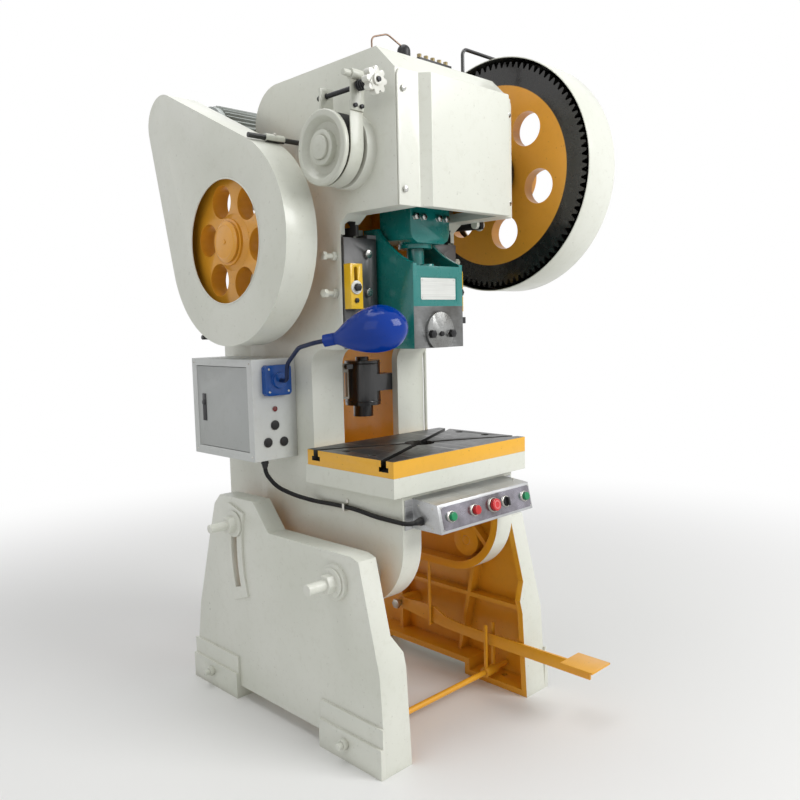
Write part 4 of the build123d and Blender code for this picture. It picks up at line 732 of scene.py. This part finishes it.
def plastic(name, colour, roughness=0.3, grain=0.15, dust=0.15, gloss=0.0, mirror=0.3):
    material = bpy.data.materials.new(name)
    material.use_nodes = True
    tree = material.node_tree
    shader = tree.nodes["Principled BSDF"]
    skin = put(tree, "ShaderNodeGroup", node_tree=moulded)
    for title, value in (("Colour", (*colour, 1)), ("Roughness", roughness), ("Grain", grain), ("Dust", dust)):
        skin.inputs[title].default_value = value
    for title, socket in (("Colour", "Base Color"), ("Roughness", "Roughness"), ("Normal", "Normal")):
        tree.links.new(skin.outputs[title], shader.inputs[socket])
    shader.inputs["Coat Weight"].default_value = gloss
    shader.inputs["Coat Roughness"].default_value = 0.08
    shader.inputs["Specular IOR Level"].default_value = mirror
    return material


motor_y, motor_z = 770, 2022
belt_rubber = plastic("belt_rubber", (0.022, 0.022, 0.022), 0.62, 0.6, 0.5)
dressed("v_belts", [belt_rubber], 0.0)
pulley_iron = metal("pulley_iron", (0.16, 0.16, 0.16), 0.34, rings(motor_y, motor_z), 0.3, 0.5, 0.9)
dressed("motor_pulley", [pulley_iron], 1.0)

# Motor: a finned barrel with bolted end shields, on a plate behind the head. Its fan cover has a
# round grille of wires over a black disc of painted shade, and its terminal box a lid on four screws.
motor_coat = enamel("motor_coat", (0.40, 0.43, 0.42), 0.42, filler=0.15, peel=0.5, soiling_and_shade=0.9, gloss=0.1)
dressed("motor", [motor_coat], 1.0)
# A black disc behind the grille is painted shade in the fan's opening.
fan_shade_disc = enamel("shaded_fan_opening", (0.02, 0.02, 0.02), 0.6)
bm = bmesh.new()
grille_r = 72
turned(bm, [(0, -4), (grille_r, -4), (grille_r, 0.4), (0, 0.4)], at(4, motor_y, motor_z), (1, 0, 0), 1, 48)
for radius in (18, 36, 54, grille_r):
    bead(bm, radius, 1.6, at(5.5, motor_y, motor_z), (1, 0, 0), 48)
for step in range(4):
    spoke = math.radians(22.5 + 45 * step)
    reach = Vector((0, math.cos(spoke), math.sin(spoke)))
    turned(bm, [(0, 0), (1.4, 0), (1.4, 2 * grille_r), (0, 2 * grille_r)],
           at(5.5, motor_y, motor_z) - reach * grille_r / 1000, reach, steps=8)
for step in range(4):
    about = math.radians(45 + 90 * step)
    pan_head(bm, 4, at(5, motor_y + 84 * math.cos(about), motor_z + 84 * math.sin(about)), (1, 0, 0), 2)
for x in (-187, -103):
    for z in (1985, 2059):
        pan_head(bm, 3.5, at(x, 895.8, z), (0, 1, 0), 2)
piece(bm, "motor_grille", "press", [motor_coat, fan_shade_disc, zinc])


def bracket_finish(middle, normal):
    """Zinc on the bolt heads that hold the plate's bracket to the back of the head."""
    upper_bolts = abs(middle.z - 1852) < 18
    lower_bolts = abs(middle.z - 1732) < 18 and min(abs(middle.x + 195), abs(middle.x + 95)) < 17
    return int(middle.y > 507.5 and (upper_bolts or lower_bolts))


dressed("motor_bracket", [cream, zinc], 2.0, choose=bracket_finish)

# Guards: rolled sheet rings with a flat face and a round window, cream outside and painted dark inside as shade,
# the window's edge turned over a wire. They hang on rods in the frame's side.
# The inward faces get a near-black coat as painted shade.
guard_shade_paint = enamel("guard_inside_painted_shade", (0.05, 0.05, 0.048), 0.5, soiling_and_shade=1.0)
for node, face_x in (("belt_guard", -457), ("gear_guard", 548)):
    bm = merged(node)
    tree = BVHTree.FromBMesh(bm)
    for face in bm.faces:
        middle = face.calc_center_median()
        back_of_face = abs(middle.x * 1000 - face_x) < 0.6 and face.normal.x * face_x < -0.5 * abs(face_x)
        ring_inside = abs(face.normal.x) < 0.3 and tree.ray_cast(
            middle + face.normal * 0.03, face.normal, 1.6)[0] is not None
        if back_of_face or ring_inside:
            face.material_index = 1
    piece(bm, node + "_made", "press", [cream, guard_shade_paint], 2.4, 3, replaces=[node])
window_r, gear_window_r = 199, 300
bm = bmesh.new()
bead(bm, window_r, 2.6, at(-459.5, counter_y, counter_z), (1, 0, 0), 128)
bead(bm, gear_window_r, 3.0, at(548, 0, crank_z), (1, 0, 0), 160)
piece(bm, "guard_window_beads", "press", [cream])
rod_black = enamel("black_rod_coat", (0.02, 0.02, 0.02), 0.35, filler=0.0, soiling_and_shade=0.6)
dressed("guard_stays", [rod_black], 1.0)
bm = bmesh.new()
belt_ring_r, gear_ring_r = 336 + 11, 404 + 12
for side, y, z, r, x in ((-1, counter_y, counter_z, belt_ring_r, -362), (1, 0, crank_z, gear_ring_r, 432)):
    for angle in ((117, -62) if side < 0 else (-62, 38)):
        out = Vector((0, math.cos(math.radians(angle)), math.sin(math.radians(angle))))
        hexagon(bm, 9, 5, at(x, y, z) + out * (r + 12.5) / 1000, out)
turned(bm, [(0, 11.5), (4, 11.5), (5, 10.5), (5, 0)], at(490, 0, 2234), (0, 0, 1), steps=16)
hexagon(bm, 17, 7, at(490, 0, 2233.5), (0, 0, 1))
piece(bm, "stay_set_screws", "press", [zinc])

# Switch box: folded sheet, powder coated light grey, with an inset door on its outer side that a
# dark lock strip holds shut, and switchgear on a plate inside.
box_coat = enamel("switch_box_coat", (0.60, 0.615, 0.61), 0.45, filler=0.05, peel=0.8, soiling_and_shade=0.4, gloss=0.05)
# The door is the box's own grey, painted darker as the shade on its side away from the light.
door_in_shade = enamel("switch_door_shade", (0.43, 0.445, 0.44), 0.45, filler=0.05, peel=0.8, soiling_and_shade=0.4, gloss=0.05)
lock_dark = metal("lock_strip", (0.05, 0.05, 0.052), 0.35, streaks((100, 100, 400)), 0.2, 0.2, 0.7)
dressed("e_box", [box_coat], 1.4, 3)


def door_finish(middle, normal):
    """Dark metal on the lock strip of the door's outer face."""
    on_strip = middle.x < -435.6 and 603 < middle.y < 627 and 995 < middle.z < 1091
    return int(on_strip and (middle.x < -437 or abs(normal.x) < 0.5))


dressed("e_box_door", [door_in_shade, lock_dark], 1.0, choose=door_finish)
black_plastic = plastic("black_plastic", (0.018, 0.018, 0.019), 0.38, 0.3, 0.2)
lens_red = plastic("dark_red_lens", (0.16, 0.012, 0.012), 0.15, 0.0, 0.1, 0.6)
dressed("e_box_grommets", [black_plastic, lens_red], 1.6, 3, choose=lambda middle, normal: int(middle.z > 1030))
galvanised = metal("galvanised_plate", (0.55, 0.56, 0.56), 0.4, streaks((40, 40, 40)), 0.2, 0.2)
dressed("contactor_plate", [black_plastic, galvanised], 1.0, choose=lambda middle, normal: int(middle.x > -270.5))
bm = bmesh.new()
for step in range(4):
    for across in (8, 24, 40):
        for z in (1092, 1152):
            pan_head(bm, 3.4, at(-346, 378 + 62 * step + across, z), (-1, 0, 0))
piece(bm, "terminal_screws", "press", [bronze])
bm = bmesh.new()
for y in (335, 675):
    for z in (893, 1198):
        pan_head(bm, 3.2, at(-436, y, z), (-1, 0, 0))
piece(bm, "box_screws", "press", [zinc])

# Lamp: a moulded blue socket screwed on the switch box, a plastic-covered gooseneck, and a spun
# teardrop shade, gloss blue outside and white inside with a pale painted highlight on its rim, and a frosted bulb.
socket_blue = plastic("socket_blue", (0.004, 0.07, 0.32), 0.28, 0.15, 0.15, 0.3)
dressed("lamp_socket", [socket_blue], 4.0, 4)
bm = bmesh.new()
for x in (-386, -310):
    for z in (1105, 1179):
        pan_head(bm, 4.0, at(x, 296, z), (0, -1, 0))
piece(bm, "socket_screws", "press", [zinc])
hose_skin = plastic("gooseneck_sheath", (0.004, 0.014, 0.06), 0.32, 0.1, 0.05, 0.15, 0.2)
dressed("lamp_arm", [hose_skin], 0.0)
shade_blue = enamel("shade_blue", (0.001, 0.036, 0.29), 0.12, filler=0.12, peel=0.1, soiling_and_shade=0.2, gloss=0.22, mirror=0.12)
shade_white = enamel("shade_inside", (0.80, 0.80, 0.77), 0.4, filler=0.0)
# The mouth's rim is a pale blue painted highlight along the shade's edge.
rim_highlight = enamel("lamp_rim_highlight", (0.45, 0.55, 0.72), 0.25, filler=0.0)
frosted = plastic("frosted_bulb", (0.82, 0.80, 0.74), 0.25, 0.05, 0.0, 0.3)
lamp_foot = at(-356, 46, 1271)
lamp_z = Vector((0.53, -0.82, 0.17)).normalized()
lamp_x = Vector((0.84, 0.54, 0)).normalized()
lamp_y = lamp_z.cross(lamp_x)
mouth_turn, mouth_tilt = math.radians(40), math.radians(9)
local = Matrix.Rotation(mouth_turn, 3, "Z") @ Matrix.Rotation(mouth_tilt, 3, "X") @ Vector((0, 1, 0))
mouth_normal = lamp_x * local.x + lamp_y * local.y + lamp_z * local.z
bulb_r, bulb_start, bulb_end = 0.0315, 69, 162
rim_start, inside_start = 60, 40
bm = merged("lamp_shade")
for face in bm.faces:
    arm = face.calc_center_median() - lamp_foot
    along = arm.dot(lamp_z) * 1000
    radial = arm - lamp_z * arm.dot(lamp_z)
    out = radial.normalized()
    on_mouth = abs(face.normal.dot(mouth_normal)) > 0.985 and abs(radial.dot(mouth_normal)) < 0.06
    if radial.length < bulb_r and bulb_start < along < bulb_end:
        face.material_index = 3
    elif on_mouth and along > rim_start:
        face.material_index = 2
    elif face.normal.dot(out) < -0.05 and along > inside_start:
        face.material_index = 1
piece(bm, "lamp_shade_made", "lamp", [shade_blue, shade_white, rim_highlight, frosted], 0.0, angle=35,
      replaces=["lamp_shade"])

# Control box: folded stainless sheet on the frame's front, brushed along its length, with a
# mottled metal film round the buttons on its inclined front and end plates held by screws.
brushed = metal("brushed_stainless", (0.56, 0.57, 0.58), 0.34, streaks((5, 420, 420)), 0.25, 0.3, 0.9)
film = metal("bare_film", (0.34, 0.325, 0.37), 0.22, streaks((24, 40, 40)), 0.9, 0.8, 0.85)
panel_back, panel_high = 19, 85
lean = math.atan2(panel_back, panel_high)
button_z = 747
panel_out = Vector((0, -math.cos(lean), math.sin(lean)))
dressed("control_box", [brushed], 1.5, 3)


def on_panel(x, z, off=0.0):
    """A point on the inclined front at height z, off it by some millimetres."""
    return at(x, -299 + panel_back * (z - 703) / panel_high, z) + panel_out * off / 1000


bm = bmesh.new()
made = bmesh.new()
bmesh.ops.create_cube(made, size=1, matrix=Matrix.Diagonal((0.424, 0.070, 0.0006, 1)))
bmesh.ops.bevel(made, geom=[edge for edge in made.edges if abs((edge.verts[0].co - edge.verts[1].co).z) > 0.0004],
                offset=0.005, segments=3, profile=0.5, affect="EDGES", material=-1)
stand_at(made, on_panel(4, 745, 0.3), panel_out)
add(bm, made, 1)
for x, inner in ((-169, 14.2), (-63, 15.2), (27, 20.2), (89, 15.2), (187, 14.2)):
    turned(bm, [(inner, 0.3), (inner, 4.2), (inner + 1.2, 5), (inner + 2.6, 4.6), (inner + 4, 0.3), (inner, 0.3)],
           on_panel(x, button_z), panel_out, steps=40)
for x in (-208, 213):
    for z in (713, 778):
        pan_head(bm, 2.6, on_panel(x, z, 0.6), panel_out)
for y, z in ((-205, 716), (-205, 777), (-262, 716), (-262, 775)):
    for side in (-1, 1):
        pan_head(bm, 3.0, at(side * 221, y, z), (side, 0, 0))
turned(bm, [(0, 9), (2.2, 9), (3, 8), (3, 0)], at(196, -240, 791), (0, 0, 1), steps=16)
piece(bm, "panel_trim", "press", [zinc, film])

# Buttons and selector: moulded heads in their collars, green to run and jog, red to stop.
green = plastic("green_button", (0.0, 0.24, 0.085), 0.25, 0.1, 0.1, 0.4)
red = plastic("red_button", (0.55, 0.012, 0.012), 0.25, 0.1, 0.1, 0.4)
stop_red = plastic("mushroom_red", (0.66, 0.02, 0.025), 0.22, 0.1, 0.1, 0.5)
for node, finish in (("jog_button", green), ("run_button", green), ("stop_button", red),
                     ("emergency_button", stop_red)):
    dressed(node, [finish], 1.0, 3)
bm = bmesh.new()
turned(bm, [(9.5, 18), (9.5, 18.5), (13.5, 18.5), (13.5, 18)], on_panel(27, button_z), panel_out, steps=40)
ring_red = plastic("mushroom_ring", (0.75, 0.20, 0.20), 0.3, 0.1, 0.1)
piece(bm, "emergency_ring", "emergency_button", [ring_red])
dressed("selector_switch", [black_plastic], 1.0, 3)

# Cable between the boxes: black rubber sheath, held by a steel saddle, with a tapered sleeve
# where it leaves each box.
sheath = plastic("cable_sheath", (0.007, 0.007, 0.008), 0.45, 0.4, 0.15, mirror=0.22)
dressed("panel_cable", [sheath], 0.0)
dressed("cable_clip", [zinc], 1.5, 3)
bm = bmesh.new()
sleeve = [(7.1, 0), (13, 0), (13, 4), (11, 5), (10.4, 9), (10.8, 10), (9.6, 14), (10, 15), (8.8, 19), (9.2, 20),
          (7.6, 26), (7.1, 26.5)]
turned(bm, sleeve, at(-221, -216, 731), (-1, 0, 0))
turned(bm, [(radius, along * 0.7) for radius, along in sleeve], at(-388, 336, 870), (0, 0, -1))
piece(bm, "cable_sleeves", "press", [black_plastic])

# Oiling: a steel block with brass fittings and an oil cup on the head, a copper tube between them.
brass = metal("brass_fitting", (0.30, 0.24, 0.13), 0.34, streaks((60, 60, 300)), 0.2, 0.3)
copper = metal("copper_tube", (0.22, 0.15, 0.11), 0.36, streaks((60, 60, 60)), 0.1, 0.3)


def oiler_finish(middle, normal):
    """Copper on the tube beside and over the cup, brass on the fittings over the block."""
    cup_inner_x, cup_outer_x, cup_top_z, block_x, block_top_z = -98, -146, 2152, -60, 2126.5
    if middle.x < cup_inner_x and (middle.x < cup_outer_x or middle.z > cup_top_z):
        return 2
    return 1 if middle.x > block_x and middle.z > block_top_z else 0


dressed("oil_distributor", [blackened, brass, copper], 1.0, choose=oiler_finish)

# Hand oil pump in the throat: a black can with a rounded bowl, and a pale looped lever
# hung on its side.
pump_black = enamel("pump_black", (0.016, 0.016, 0.017), 0.32, filler=0.15, soiling_and_shade=0.9, gloss=0.4)
dressed("lubricator", [pump_black], 4.0, 4)
lever_pale = enamel("pump_lever_coat", (0.50, 0.48, 0.42), 0.35, filler=0.1, soiling_and_shade=0.8)
dressed("pump_lever", [lever_pale], 3.0, 3)
bm = bmesh.new()
for z in (1040, 1176):
    bead(bm, 64.3, 2.2, at(42, 322, z), (0, 0, 1), 64)
piece(bm, "pump_beads", "press", [pump_black])
